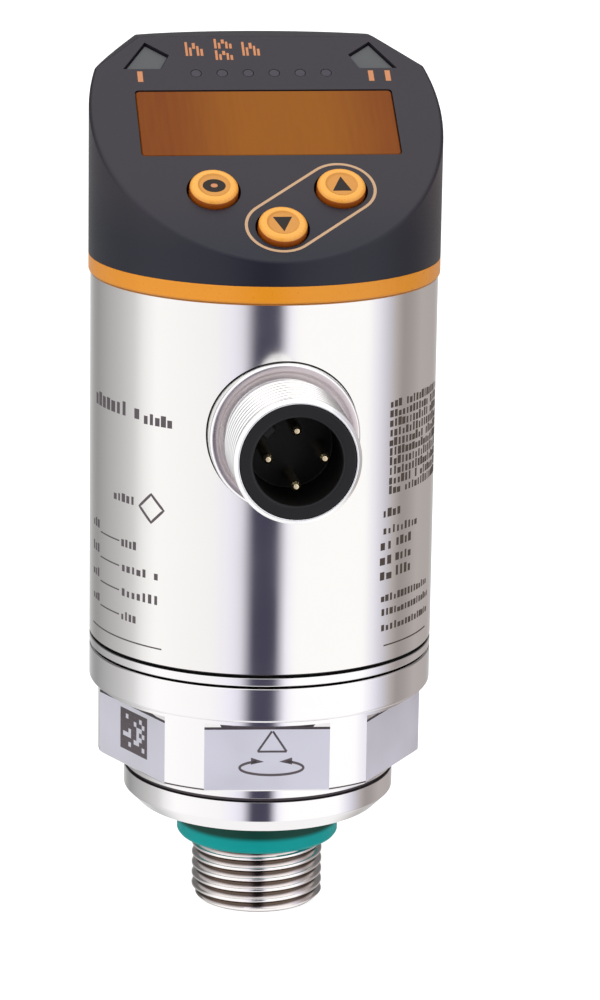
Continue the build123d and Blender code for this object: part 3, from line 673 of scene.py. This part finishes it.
# painted shade: the groove between the lip and the tube is given the dark black rubber finish
paintFaces(swivel, ("turnedStainless", "blackRubber"), lambda reach, height, normal: (
    reach < bush["grooveRadius"] + 0.45 and bush["lipTop"] - 0.001 < height < bush["tubeBottom"]))
settle(swivel, None, "housing", "stainless_turned", "bearing_bush")


# housing tube: a polished cylinder with the round hole of the connector

tube = {"bottom": 17.35, "top": 53.8, "outer": 17.0, "inner": 15.5, "around": 256, "edge": 0.15,
        "holeHeight": 41.0, "holeRadius": 7.32, "blockCells": 26, "blockHalf": 9.5, "rings": 8,
        "easing": 0.8, "footInner": 16.5}


def tubeWall(mesh, t, radius):
    # one round wall with the hole; returns the points round the hole and those at both ends
    around, columns, known = t["around"], t["blockCells"] * 2, {}
    turns = [(k - t["blockCells"]) * 2 * math.pi / around for k in range(around)]
    blockLow, blockHigh = t["holeHeight"] - t["blockHalf"], t["holeHeight"] + t["blockHalf"]
    blockRows = [blockLow + (blockHigh - blockLow) * k / t["blockCells"] for k in range(t["blockCells"] + 1)]
    edge, close = t["edge"], t["edge"] * 1.6
    levels = [t["bottom"] + edge, t["bottom"] + close] + blockRows + [t["top"] - close, t["top"] - edge]

    def at(turn, z):
        key = (round(turn, 7), round(z, 6))
        if key not in known:
            known[key] = mesh.verts.new((radius * mm * math.sin(turn), -radius * mm * math.cos(turn), z * mm))
        return known[key]
    for low, high in zip(levels, levels[1:]):
        for k in range(around):
            if k < columns and blockLow - 1e-6 < low and high < blockHigh + 1e-6:
                continue
            a, b = turns[k], turns[(k + 1) % around]
            mesh.faces.new((at(a, low), at(b, low), at(b, high), at(a, high)))
    # the block round the hole: rings that go from its square border to the circle
    border = [(turns[k], blockLow) for k in range(columns)]
    border += [(turns[columns], z) for z in blockRows[:-1]]
    border += [(turns[columns - k], blockHigh) for k in range(columns)]
    border += [(turns[0], z) for z in reversed(blockRows[1:])]
    rings = [[at(*p) for p in border]]
    for ring in range(1, t["rings"] + 1):
        share = (ring / t["rings"]) ** t["easing"]
        rings.append([])
        for turn, z in border:
            away = math.atan2(z - t["holeHeight"], turn * radius)
            x, up = t["holeRadius"] * math.cos(away), t["holeRadius"] * math.sin(away)
            bent = turn + (math.asin(x / radius) - turn) * share
            rings[-1].append(mesh.verts.new((radius * mm * math.sin(bent), -radius * mm * math.cos(bent),
                                             (z + (t["holeHeight"] + up - z) * share) * mm)))
    joinRings(mesh, rings)
    return rings[-1], [[at(a, z) for a in turns] for z in (levels[0], levels[-1])]


def tubeMesh(t):
    mesh = bmesh.new()
    outerHole, outerEnds = tubeWall(mesh, t, t["outer"])
    innerHole, innerEnds = tubeWall(mesh, t, t["inner"])
    joinRings(mesh, [outerHole, innerHole])
    for outerEnd, innerEnd, z in zip(outerEnds, innerEnds, (t["bottom"], t["top"])):
        rings = [outerEnd]
        for radius in (t["outer"] - t["edge"], t["inner"] + t["edge"]):
            rings.append([mesh.verts.new((v.co.x * radius / t["outer"], v.co.y * radius / t["outer"], z * mm))
                          for v in outerEnd])
        joinRings(mesh, rings + [innerEnd])
    return mesh


housing = finishMesh(tubeMesh(tube), "polished_tube", 25)
# true normals on the round wall, so that reflections run straight past the hole
normals = []
for face in housing.data.polygons:
    for index in face.vertices:
        spot = housing.data.vertices[index].co
        level = Vector((spot.x, spot.y, 0))
        onWall = abs(face.normal.z) < 0.02 and abs(face.normal.dot(level.normalized())) > 0.99
        outside = level.length > (tube["outer"] - 0.05) * mm
        normals.append(level.normalized() if onWall and outside else face.normal.copy())
housing.data.normals_split_custom_set(normals)
# the chamfer round the tube's foot takes painted shade, a dark line
paintFaces(housing, ("polishedStainless", "edgeStainless"), lambda reach, height, normal: (
    reach > tube["footInner"] and height < tube["bottom"] + tube["edge"]))
settle(housing, None, "housing", "stainless_housing", "housing_tube")
print("tube made")


# round connector

connector = {"height": 41.0, "bossRadius": 7.2, "bossFace": 17.6, "bossBack": 13.5, "faceInner": 6.5,
             "stepRadius": 6.2, "stepDepth": 0.35, "bore": 5.5, "barrelRadius": 6.0, "barrelFace": 27.1,
             "landLength": 0.6, "grooveEnd": 18.4, "grooveRadius": 5.55, "threadDepth": 0.3,
             "threadPitch": 1.0, "insertRadius": 5.45, "socketRadius": 4.2, "socketFloor": 20.1,
             "insertBack": 12.5, "keyAngle": 135, "key": [(3.4, -0.65), (4.4, -0.7), (4.4, 0.7), (3.4, 0.65)],
             "pinCount": 4, "pinCircle": 2.66, "pinRadius": 0.5, "pinTip": 25.9, "pinBack": 9.2,
             "facedInner": 5.7, "facedOuter": 6.95, "facedLow": 17.0, "facedHigh": 17.7}
# local Z runs out of the housing along -Y
plugPlace = Matrix.Translation((0, 0, connector["height"] * mm)) @ Matrix.Rotation(math.pi / 2, 4, "X")

barrel, face, core = connector["barrelRadius"], connector["barrelFace"], connector["barrelRadius"] - 0.4
step, land = connector["bossFace"] - connector["stepDepth"], face - connector["landLength"]
shell = lathePiece("connector_barrel", [
    (connector["bore"], connector["bossBack"], 0.1), (connector["bossRadius"], connector["bossBack"], 0.1),
    (connector["bossRadius"], connector["bossFace"], 0.35),
    (connector["faceInner"], connector["bossFace"], 0.1),
    (connector["stepRadius"], step, 0.1), (connector["grooveRadius"] + 0.05, step, 0.1),
    (connector["grooveRadius"], connector["grooveEnd"], 0), (core, connector["grooveEnd"], 0),
    (core, land, 0), (barrel, land, 0.05), (barrel, face - 0.35, 0.1), (barrel - 0.35, face, 0.08),
    (connector["bore"], face, 0.05),
], 192, plugPlace)
# the faced ring takes a painted reflection, darker than the barrel
paintFaces(shell, ("connectorStainless", "facedStainless"), lambda reach, height, normal: (
    connector["facedInner"] < reach < connector["facedOuter"]
    and connector["facedLow"] < height < connector["facedHigh"]), plugPlace)
settle(shell, None, "housing", "stainless_turned", "connector_shell")

barrelThread = threadPiece("connector_thread", connector, barrel, connector["grooveEnd"], face - 0.55,
                           barrel - connector["threadDepth"], "connectorStainless")
barrelThread.data.transform(plugPlace)
settle(barrelThread, None, "housing", "stainless_turned")

mesh = bmesh.new()
addLathe(mesh, [
    (0, connector["insertBack"], 0), (connector["insertRadius"], connector["insertBack"], 0.2),
    (connector["insertRadius"], face, 0.12), (connector["socketRadius"], face, 0.25),
    (connector["socketRadius"], connector["socketFloor"], 0.15), (0, connector["socketFloor"], 0),
], 144, plugPlace)
addPrism(mesh, connector["key"], connector["socketFloor"] - 0.3, face - 0.8, 0.15,
         plugPlace @ Matrix.Rotation(math.radians(connector["keyAngle"]), 4, "Z"))
insert = finishMesh(mesh, "contact_carrier")
# painted highlight on the carrier's front rim
paintFaces(insert, ("blackPlastic", "carrierRim"),
           lambda reach, height, normal: height > connector["barrelFace"] - 0.4, plugPlace)
settle(insert, None, "housing", "black_plastic", "connector_insert")

# contact pins: one turned pin, set round a circle
pinTree, given = newTree("pinCircle", {"Int": ["Count"], "Float": ["Circle Radius"]})
ring = addNode(pinTree, "GeometryNodeMeshCircle",
               links={"Vertices": given["Count"], "Radius": given["Circle Radius"]})
endTree(pinTree, given, addNode(pinTree, "GeometryNodeInstanceOnPoints",
                                links={"Points": ring, "Instance": given["Geometry"]}))
pins = lathePiece("contact_pins", [
    (0, connector["pinBack"], 0), (connector["pinRadius"], connector["pinBack"], 0.1),
    (connector["pinRadius"], connector["pinTip"] - 0.35, 0.2), (0.22, connector["pinTip"], 0.12),
    (0, connector["pinTip"], 0),
], 28)
runTree(pins, pinTree, {"Count": connector["pinCount"], "Circle Radius": connector["pinCircle"] * mm,
                        "Material": finishes["goldPlate"]})
pins.data.transform(plugPlace)
settle(tidyMesh(pins), None, "housing", "gold_plated", "connector_pins")
print("connector made")


# head

head = {"ringBottom": 53.8, "ringTop": 55.5, "ringRadius": 17.2, "ringBore": 15.5,
        "slantAngle": 34.0, "slantFront": 57.8, "headRadius": 17.2}
# local X runs across the head, Y up the slant and Z out of it
slantPlace = (Matrix.Translation((0, -head["headRadius"] * mm, head["slantFront"] * mm))
              @ Matrix.Rotation(math.radians(head["slantAngle"]), 4, "X"))

settle(lathePiece("orange_ring", [
    (head["ringBore"], head["ringBottom"], 0.1), (head["ringRadius"], head["ringBottom"], 0.2),
    (head["ringRadius"], head["ringTop"], 0.08), (head["ringBore"], head["ringTop"], 0.05),
], 256), "orangePlastic", "housing", "orange_plastic", "accent_ring")

# the cap keeps its CAD shape; the copy is merged and its flats keep flat normals
mesh = bmesh.new()
mesh.from_mesh(cadNodes["head_cap"].data)
cap = finishMesh(mesh, "moulded_head", 24)
cap.modifiers.new("flat faces stay flat", "WEIGHTED_NORMAL").keep_sharp = True
settle(bakeModifiers(cap), "charcoalPlastic", "housing", "dark_plastic", "head_cap")

# display window
window = {"width": 25.1, "height": 9.1, "up": 19.1, "thickness": 1.0, "sunk": 0.05, "corner": 0.4,
          "edge": 0.12}
outline = []
for sideX, sideY, start in ((1, -1, -90), (1, 1, 0), (-1, 1, 90), (-1, -1, 180)):
    centre = (sideX * (window["width"] / 2 - window["corner"]),
              window["up"] + sideY * (window["height"] / 2 - window["corner"]))
    outline += arc(centre, window["corner"], window["corner"], start, 90, 4)
mesh = bmesh.new()
addPrism(mesh, outline, -window["sunk"] - window["thickness"], -window["sunk"], window["edge"], slantPlace)
settle(finishMesh(mesh, "amber_window", 20), "amberWindow", "housing", "amber_window", "display_window")

# light windows in the two upper corners
pane = {"corners": [(11.1, 30.5), (8.9, 28.7), (9.8, 26.8), (13.4, 26.8)], "low": -1.7, "high": -0.3,
        "edge": 0.12}
for label, side in (("left", -1), ("right", 1)):
    corners = [(side * x, up) for x, up in pane["corners"]][::-side]
    mesh = bmesh.new()
    addPrism(mesh, corners, pane["low"], pane["high"], pane["edge"], slantPlace)
    settle(finishMesh(mesh, "light_pane_" + label, 20), "frostedWindow", "housing", "smoke_window",
           "light_window_" + label)

# indicator dots: one light pipe, repeated along a row
dotRow = {"count": 6, "pitch": 2.56, "up": 26.1, "radius": 0.5, "length": 5.1}
rowTree, given = newTree("dotRow", {"Int": ["Count"], "Vector": ["Pitch", "Start"]})
line = addNode(rowTree, "GeometryNodeMeshLine",
               links={"Count": given["Count"], "Start Location": given["Start"], "Offset": given["Pitch"]})
endTree(rowTree, given, addNode(rowTree, "GeometryNodeInstanceOnPoints",
                                links={"Points": line, "Instance": given["Geometry"]}))
dots = lathePiece("indicator_dots", [(0, -dotRow["length"], 0), (dotRow["radius"], -dotRow["length"], 0.05),
                                     (dotRow["radius"], 0.0, 0.04), (0, 0.0, 0)], 28)
runTree(dots, rowTree, {
    "Count": dotRow["count"], "Pitch": (dotRow["pitch"] * mm, 0, 0), "Material": finishes["dimPipe"],
    "Start": ((1 - dotRow["count"]) / 2 * dotRow["pitch"] * mm, dotRow["up"] * mm, 0)})
dots.data.transform(slantPlace)
settle(tidyMesh(dots), None, "housing", "light_pipe", "indicator_pipes")
print("head made")


# push buttons with their printed signs

button = {"radius": 2.35, "proud": 0.8, "flangeRadius": 3.0, "flangeTop": -1.75, "flangeEnd": -2.35,
          "stemRadius": 1.1, "stemEnd": -3.65, "rounding": 0.52,
          "dish": 0.12, "dishRim": 1.6, "dishFloor": 1.35, "faceReach": 1.55, "edgeHeight": 0.42,
          "places": {"enter": (-6.1, 9.7), "down": (0.0, 4.6), "up": (6.1, 9.7)}}
signs = {"enter": arc((0, 0), 1.1, 0.88, 0, 360, 32)[:-1],
         "down": [(0, -1.12), (0.92, 0.82), (-0.92, 0.82)],
         "up": [(-0.92, -0.82), (0.92, -0.82), (0, 1.12)]}
floor = button["proud"] - button["dish"]


def buttonFinish(reach, height, normal):
    # 0 is the dished face, 1 the edge with its painted highlight, 2 the side with its painted shade
    if reach <= button["faceReach"]:
        return 0
    return 2 if height < button["proud"] - button["edgeHeight"] else 1


for label, (x, up) in button["places"].items():
    place = slantPlace @ Matrix.Translation((x * mm, up * mm, 0))
    cap = lathePiece("button_" + label, [
        (0, button["stemEnd"], 0), (button["stemRadius"], button["stemEnd"], 0.1),
        (button["stemRadius"], button["flangeEnd"], 0), (button["flangeRadius"], button["flangeEnd"], 0.05),
        (button["flangeRadius"], button["flangeTop"], 0.05), (button["radius"], button["flangeTop"], 0),
        (button["radius"], button["proud"], button["rounding"]), (button["dishRim"], button["proud"], 0.15),
        (button["dishFloor"], floor, 0.15), (0, floor, 0),
    ], 96, place)
    # painted highlight on the edge, painted shade on the side
    paintFaces(cap, ("orangeButton", "orangeRim", "orangeWall"), buttonFinish, place)
    settle(cap, None, label + "_button", "orange_button", label + "_button")
    mesh = bmesh.new()
    addPrism(mesh, signs[label], floor - 0.05, floor + 0.02, 0.015, place)
    settle(finishMesh(mesh, "sign_" + label, 20), "glyphInk", label + "_button", "dark_plastic")
    if label == "enter":
        # painted highlight: a light dot in the middle of the enter sign
        mesh = bmesh.new()
        addPrism(mesh, arc((0, 0), 0.34, 0.27, 0, 360, 20)[:-1], floor, floor + 0.03, 0.01, place)
        settle(finishMesh(mesh, "sign_enter_highlight_dot", 20), "orangeInk", "enter_button", "orange_plastic")


# print on the head: a loop round two buttons, plain signs and unit marks

loop = {"from": (-0.12, 4.8), "to": (6.1, 9.9), "radius": 3.3, "width": 0.29}
way = Vector(loop["to"]) - Vector(loop["from"])
heading = math.degrees(math.atan2(way.y, way.x))
path = (arc(loop["to"], loop["radius"], loop["radius"], heading - 90, 180, 32)
        + arc(loop["from"], loop["radius"], loop["radius"], heading + 90, 180, 32))
mesh = bmesh.new()
addLine(mesh, path, loop["width"], ink["low"], ink["high"], onPlane(slantPlace), True)
settle(finishMesh(mesh, "button_outline", 20), "paleInk", "housing", "orange_plastic")

headMarks = {
    # signs under the panes: place, width and height of each bar
    "signs": [(-11.9, 25.65, 0.52, 1.5), (10.8, 25.65, 0.52, 1.5), (12.45, 25.65, 0.52, 1.5)],
    # unit marks of plain strokes, the middle one of two lines: place and height
    "units": [(-6.35, 29.6, 2.0), (-3.45, 28.7, 1.4), (-3.45, 30.35, 1.4), (-0.75, 29.6, 2.0)],
    # strokes of a unit mark: shift to the side, then shift up and height as shares of the mark, and width
    "strokes": [(-0.72, 0, 1, 0.24), (-0.34, -0.2, 0.6, 0.24), (0.02, 0.22, 0.42, 0.3),
                (0.38, -0.14, 0.7, 0.24), (0.76, -0.25, 0.5, 0.26)],
}
bars = list(headMarks["signs"])
for x, up, tall in headMarks["units"]:
    bars += [(x + aside, up + tall * lift, width, tall * share)
             for aside, lift, share, width in headMarks["strokes"]]
mesh = bmesh.new()
for x, up, width, height in bars:
    addPrism(mesh, rectangle(x - width / 2, up - height / 2, x + width / 2, up + height / 2),
             ink["low"], ink["high"], 0.01, slantPlace)
settle(finishMesh(mesh, "head_marks", 20), "orangeInk", "housing", "orange_plastic")
print("buttons and head print made")


# etched marks on the tube: bars of random length in rows, wrapped round the cylinder

etchTree, given = newTree("etchedRows", {
    "Int": ["Columns", "Rows", "Seed"],
    "Float": ["Cell Width", "Row Pitch", "Bar Height", "Radius", "Middle Turn", "Middle Height",
              "Filled", "Proud"]})
addSteps(etchTree, given, "ShaderNodeMath", [
    ("columnsLess", "SUBTRACT", "Columns", 1.0),
    ("rowsLess", "SUBTRACT", "Rows", 1.0),
    ("fieldWidth", "MULTIPLY", "columnsLess", "Cell Width"),
    ("fieldHeight", "MULTIPLY", "rowsLess", "Row Pitch"),
    ("lengthSeed", "ADD", "Seed", 7.0),
    ("heightSeed", "ADD", "Seed", 19.0),
])
for name, low, seed in (("chance", 0.0, "Seed"), ("lengthShare", 0.4, "lengthSeed"),
                        ("heightShare", 0.6, "heightSeed")):
    given[name] = addNode(etchTree, "FunctionNodeRandomValue", {"data_type": "FLOAT", 2: low, 3: 1.0},
                          {"Seed": given[seed]})
addSteps(etchTree, given, "ShaderNodeMath", [
    ("barLength", "MULTIPLY", "lengthShare", "Cell Width"),
    ("barHeight", "MULTIPLY", "heightShare", "Bar Height"),
])
grid = addNode(etchTree, "GeometryNodeMeshGrid", links={
    "Size X": given["fieldWidth"], "Size Y": given["fieldHeight"],
    "Vertices X": given["Columns"], "Vertices Y": given["Rows"]})
keep = addNode(etchTree, "FunctionNodeCompare", {"data_type": "FLOAT", "operation": "LESS_THAN"},
               {0: given["chance"], 1: given["Filled"]})
barSize = addNode(etchTree, "ShaderNodeCombineXYZ",
                  links={0: given["barLength"], 1: given["barHeight"], 2: given["Proud"]})
cube = addNode(etchTree, "GeometryNodeMeshCube", {"Size": (0.84, 1.0, 1.0), "Vertices X": 4})
block = addNode(etchTree, "GeometryNodeTransform", {"Translation": (0, 0.5, 0)}, {"Geometry": cube})
barSet = addNode(etchTree, "GeometryNodeInstanceOnPoints",
                 links={"Points": grid, "Selection": keep, "Instance": block, "Scale": barSize})
flat = addNode(etchTree, "GeometryNodeRealizeInstances", links={"Geometry": barSet})
spot = addNode(etchTree, "ShaderNodeSeparateXYZ", links={0: addNode(etchTree, "GeometryNodeInputPosition")})
given.update({axis: spot.outputs[axis] for axis in "XYZ"})
addSteps(etchTree, given, "ShaderNodeMath", [
    ("shift", "DIVIDE", "X", "Radius"),
    ("turn", "ADD", "shift", "Middle Turn"),
    ("reach", "ADD", "Z", "Radius"),
    ("sine", "SINE", "turn"),
    ("cosine", "COSINE", "turn"),
    ("toX", "MULTIPLY", "sine", "reach"),
    ("outwards", "MULTIPLY", "cosine", "reach"),
    ("toY", "MULTIPLY", "outwards", -1.0),
    ("toZ", "ADD", "Y", "Middle Height"),
])
wrapped = addNode(etchTree, "ShaderNodeCombineXYZ", links={0: given["toX"], 1: given["toY"], 2: given["toZ"]})
endTree(etchTree, given,
        addNode(etchTree, "GeometryNodeSetPosition", links={"Geometry": flat, "Position": wrapped}))

etchFields = {
    # first and last turn in degrees from the front, foot of the lowest row, number of rows, row pitch,
    # cell width, bar height, share filled, seed
    1: (-80, -50, 41.4, 1, 1.0, 0.95, 1.45, 0.97, 3),
    2: (-49, -37.5, 41.1, 1, 1.0, 0.72, 1.15, 1.0, 4),
    3: (-65, -52.5, 32.8, 1, 1.0, 0.7, 0.9, 1.0, 5),
    4: (-82, -75, 21.65, 4, 2.47, 0.7, 0.95, 1.0, 8),
    5: (-60, -52, 21.0, 1, 1.0, 0.6, 0.85, 1.0, 11),
    6: (-60, -42, 23.4, 2, 2.47, 0.75, 0.95, 0.95, 12),
    7: (-60, -52, 28.35, 1, 1.0, 0.6, 0.85, 1.0, 13),
    8: (39, 76, 34.2, 10, 0.95, 0.62, 0.86, 0.95, 21),
    9: (36.5, 45, 32.0, 1, 1.0, 0.7, 0.9, 1.0, 23),
    10: (36.5, 56, 30.3, 1, 1.0, 0.65, 0.85, 0.95, 24),
    11: (36.5, 40, 25.75, 3, 1.5, 0.95, 0.95, 1.0, 25),
    12: (43, 52, 25.9, 3, 1.5, 0.7, 1.0, 1.0, 26),
    13: (36.5, 66, 23.55, 1, 1.0, 0.6, 0.75, 0.95, 31),
    14: (36, 69, 22.15, 1, 1.0, 0.6, 0.7, 0.95, 34),
    15: (36, 68, 20.6, 1, 1.0, 0.62, 0.75, 0.95, 37),
}
for number, (first, last, foot, rows, pitch, cell, bar, filled, seed) in etchFields.items():
    columns = max(2, round(math.radians(last - first) * tube["outer"] / cell))
    marks = runTree(newPiece(f"etched_marks_{number}"), etchTree, {
        "Columns": columns, "Rows": rows, "Cell Width": cell * mm, "Row Pitch": pitch * mm,
        "Bar Height": bar * mm, "Radius": tube["outer"] * mm, "Middle Turn": math.radians((first + last) / 2),
        "Middle Height": (foot + pitch * (rows - 1) / 2) * mm, "Filled": filled, "Seed": seed,
        "Proud": ink["onTube"] * mm, "Material": finishes["etchedMark"],
    })
    settle(tidyMesh(marks, 30), None, "housing", "stainless_housing")


def onTube(x, y, z):
    # x runs round the tube, y up and z out of it
    turn, reach = x / tube["outer"], (tube["outer"] + z) * mm
    return Vector((reach * math.sin(turn), -reach * math.cos(turn), y * mm))


# leader lines, two rules and a plain rhombus, by turns and heights as above; lines also have a width
etchLines = {
    "lines": [(-74, -61, 28.8, 0.13), (-74, -61, 26.3, 0.13), (-74, -61, 23.85, 0.13), (-74, -61, 21.4, 0.13),
              (-82, -41, 19.05, 0.14), (38, 66, 19.1, 0.13)],
    "rhombus": [(-50.7, 32.9), (-45.6, 34.3), (-40.5, 32.9), (-45.6, 31.5)], "rhombusWidth": 0.26,
}


def between(start, end, steps):
    # even points from one (turn, height) up to the other, unrolled to millimetres
    points = [[a + (b - a) * k / steps for a, b in zip(start, end)] for k in range(steps + 1)]
    return [(math.radians(turn) * tube["outer"], height) for turn, height in points]


mesh = bmesh.new()
for first, last, height, width in etchLines["lines"]:
    addLine(mesh, between((first, height), (last, height), 16), width, -ink["onTube"], ink["onTube"], onTube)
corners = etchLines["rhombus"]
path = [p for start, end in zip(corners, corners[1:] + corners[:1]) for p in between(start, end, 6)[:-1]]
addLine(mesh, path, etchLines["rhombusWidth"], -ink["onTube"], ink["onTube"], onTube, True)
settle(finishMesh(mesh, "etched_lines", 30), "etchedMark", "housing", "stainless_housing")
print("etched marks made")


# inner pieces keep their CAD shapes and get their finishes

innerFinishes = {
    "blackRubber": ["cell_seal", "swivel_seal", "cap_seal"],
    "whiteCeramic": ["measuring_cell"],
    "turnedStainless": ["clamp_ring"],
    "springSteel": ["swivel_clip", "stop_pin"],
    "circuitBoard": ["cell_board", "display_board", "main_board", "contact_board"],
    "greySheath": ["cell_cable"],
    "displayBlack": ["display_module"],
    "whiteLed": ["status_leds", "indicator_leds"],
    "switchBlack": ["push_switches"],
    "innerPlastic": ["board_carrier"],
    "chipBlack": ["processor_chip", "interface_chip"],
    "capacitorCan": ["filter_capacitors"],
    "flexAmber": ["flex_link"],
    "tinnedWire": ["link_wires"],
}
for finish, nodeNames in innerFinishes.items():
    for nodeName in nodeNames:
        for materialSlot in cadNodes[nodeName].material_slots:
            materialSlot.material = finishes[finish]
print("inner pieces painted")


# studio: a world of upright bands of light for the metal, plain white to the camera

studio = {
    # turn from the front in degrees, positive to the right, the brightness there, and its tint
    "bands": [(-180, 0.75, "white"), (-160, 0.42, "white"), (-150, 0.36, "white"), (-137, 0.46, "white"),
              (-116, 0.62, "white"), (-102, 0.78, "white"), (-93, 1.05, "white"), (-82, 1.22, "white"),
              (-40, 1.15, "white"), (-27, 1.1, "lavender"), (-20, 0.95, "lavender"), (-12, 0.075, "slate"),
              (3, 0.075, "slate"), (10, 1.15, "lavender"), (16, 1.25, "white"), (66, 1.25, "white"),
              (76, 1.0, "lavender"), (84, 0.74, "lavender"), (92, 0.5, "beige"), (99, 0.36, "beige"),
              (108, 0.4, "beige"), (121, 0.5, "beige"), (148, 0.45, "beige"), (165, 0.6, "white")],
    "tints": {"white": (1.0, 1.0, 1.0), "lavender": (0.97, 0.95, 1.06), "slate": (0.95, 0.9, 1.45),
              "beige": (1.06, 0.97, 0.94)},
    "overhead": 1.35, "underneath": 1.1, "backWall": 0.16, "strength": 1.3, "floorLift": 0.78,
    # where each of these directions begins and is full, along an axis of the way out
    "zones": {"behind": ("Y", 0.2, 0.6), "raised": ("Z", -0.05, 0.1), "underneath": ("Z", -0.55, -0.8),
              "overhead": ("Z", 0.6, 0.85)},
}
world = bpy.data.worlds.new("paleStudio")
bpy.context.scene.world = world
world.use_nodes = True
tree = world.node_tree
tree.nodes.clear()
way = addNode(tree, "ShaderNodeSeparateXYZ",
              links={0: addNode(tree, "ShaderNodeTexCoord").outputs["Generated"]})
known = {axis: way.outputs[axis] for axis in "XYZ"}
addSteps(tree, known, "ShaderNodeMath", [("front", "MULTIPLY", "Y", -1.0), ("turn", "ARCTAN2", "X", "front")])
share = addNode(tree, "ShaderNodeMapRange", {"From Min": -math.pi, "From Max": math.pi},
                {"Value": known["turn"]})
seen = addNode(tree, "ShaderNodeValToRGB", links={"Fac": share})
stops = seen.color_ramp.elements
while len(stops) > 1:
    stops.remove(stops[0])
for number, (degrees, brightness, tint) in enumerate(studio["bands"]):
    stop = stops[0] if number == 0 else stops.new((degrees + 180) / 360)
    stop.position = (degrees + 180) / 360
    stop.color = [brightness / studio["strength"] * part for part in studio["tints"][tint]] + [1.0]
for zone, (axis, start, end) in studio["zones"].items():
    known[zone] = addNode(tree, "ShaderNodeMapRange", {
        "interpolation_type": "SMOOTHSTEP", "From Min": start, "From Max": end}, {"Value": known[axis]})
# behind the object and above the horizon the room is dim, so that the head's top stays dark
addSteps(tree, known, "ShaderNodeMath", [("backWall", "MULTIPLY", "behind", "raised")])
for zone in ("backWall", "underneath", "overhead"):
    level = [studio[zone] / studio["strength"]] * 3 + [1.0]
    seen = addNode(tree, "ShaderNodeMix", {"data_type": "RGBA", 7: level}, {"Factor": known[zone], 6: seen})
lightPart = addNode(tree, "ShaderNodeBackground", {"Strength": studio["strength"]}, {"Color": seen})
whitePart = addNode(tree, "ShaderNodeBackground", {"Color": (1, 1, 1, 1), "Strength": 1.0})
toCamera = addNode(tree, "ShaderNodeLightPath").outputs["Is Camera Ray"]
chosen = addNode(tree, "ShaderNodeMixShader", links={"Fac": toCamera, 1: lightPart, 2: whitePart})
addNode(tree, "ShaderNodeOutputWorld", links={"Surface": chosen})

# pale floor that the spigot stands on: white to the camera, with the object's faint shadow
mesh = bmesh.new()
bmesh.ops.create_grid(mesh, x_segments=2, y_segments=2, size=1.5)
bmesh.ops.translate(mesh, vec=(0, 0, fitting["spigotEnd"] * mm), verts=mesh.verts)
studioFloor = finishMesh(mesh, "studio_floor")
paint, tree, shader, _ = newMaterial("paleFloor", {
    "Base Color": toLinear("#bcbcbc"), "Roughness": 1.0, "Specular IOR Level": 0.0})
lift = addNode(tree, "ShaderNodeEmission", {"Color": (1, 1, 1, 1), "Strength": studio["floorLift"]})
seen = addNode(tree, "ShaderNodeAddShader", links={0: shader, 1: lift})
toCamera = addNode(tree, "ShaderNodeLightPath").outputs["Is Camera Ray"]
chosen = addNode(tree, "ShaderNodeMixShader", links={"Fac": toCamera, 1: shader, 2: seen})
link(tree.nodes["Material Output"], {"Surface": chosen})
studioFloor.data.materials.append(paint)
studioFloor.visible_glossy = False


def aimed(place, aim):
    return (Vector(aim) - Vector(place)).to_track_quat("-Z", "Y")


# one soft lamp above and to the left gives the plastic its shape
softBox = {"place": (-0.35, -0.35, 0.6), "aim": (0, 0, 0.04), "size": 0.5, "energy": 1.2}
lamp = bpy.data.lights.new("softBox", "AREA")
lamp.shape = "RECTANGLE"
lamp.size, lamp.size_y = softBox["size"], softBox["size"]
lamp.energy = softBox["energy"]
lampObject = newPiece("soft_box", lamp)
lampObject.location = softBox["place"]
lampObject.rotation_mode = "QUATERNION"
lampObject.rotation_quaternion = aimed(softBox["place"], softBox["aim"])
lampObject.visible_glossy = False

# camera at the photo's angle
shot = {"place": (-0.05, -0.39575, 0.13296), "aim": (0.003877, 0.0, 0.03039), "roll": 0.9, "lens": 149.5}
camera = newPiece("camera", bpy.data.cameras.new("camera"))
camera.data.sensor_width = 36
camera.data.lens = shot["lens"]
camera.location = shot["place"]
camera.rotation_mode = "QUATERNION"
rolled = Matrix.Rotation(math.radians(shot["roll"]), 3, "Z").to_quaternion()
camera.rotation_quaternion = aimed(shot["place"], shot["aim"]) @ rolled
bpy.context.scene.camera = camera
bpy.context.scene.view_settings.view_transform = "Standard"
print("studio and camera set")
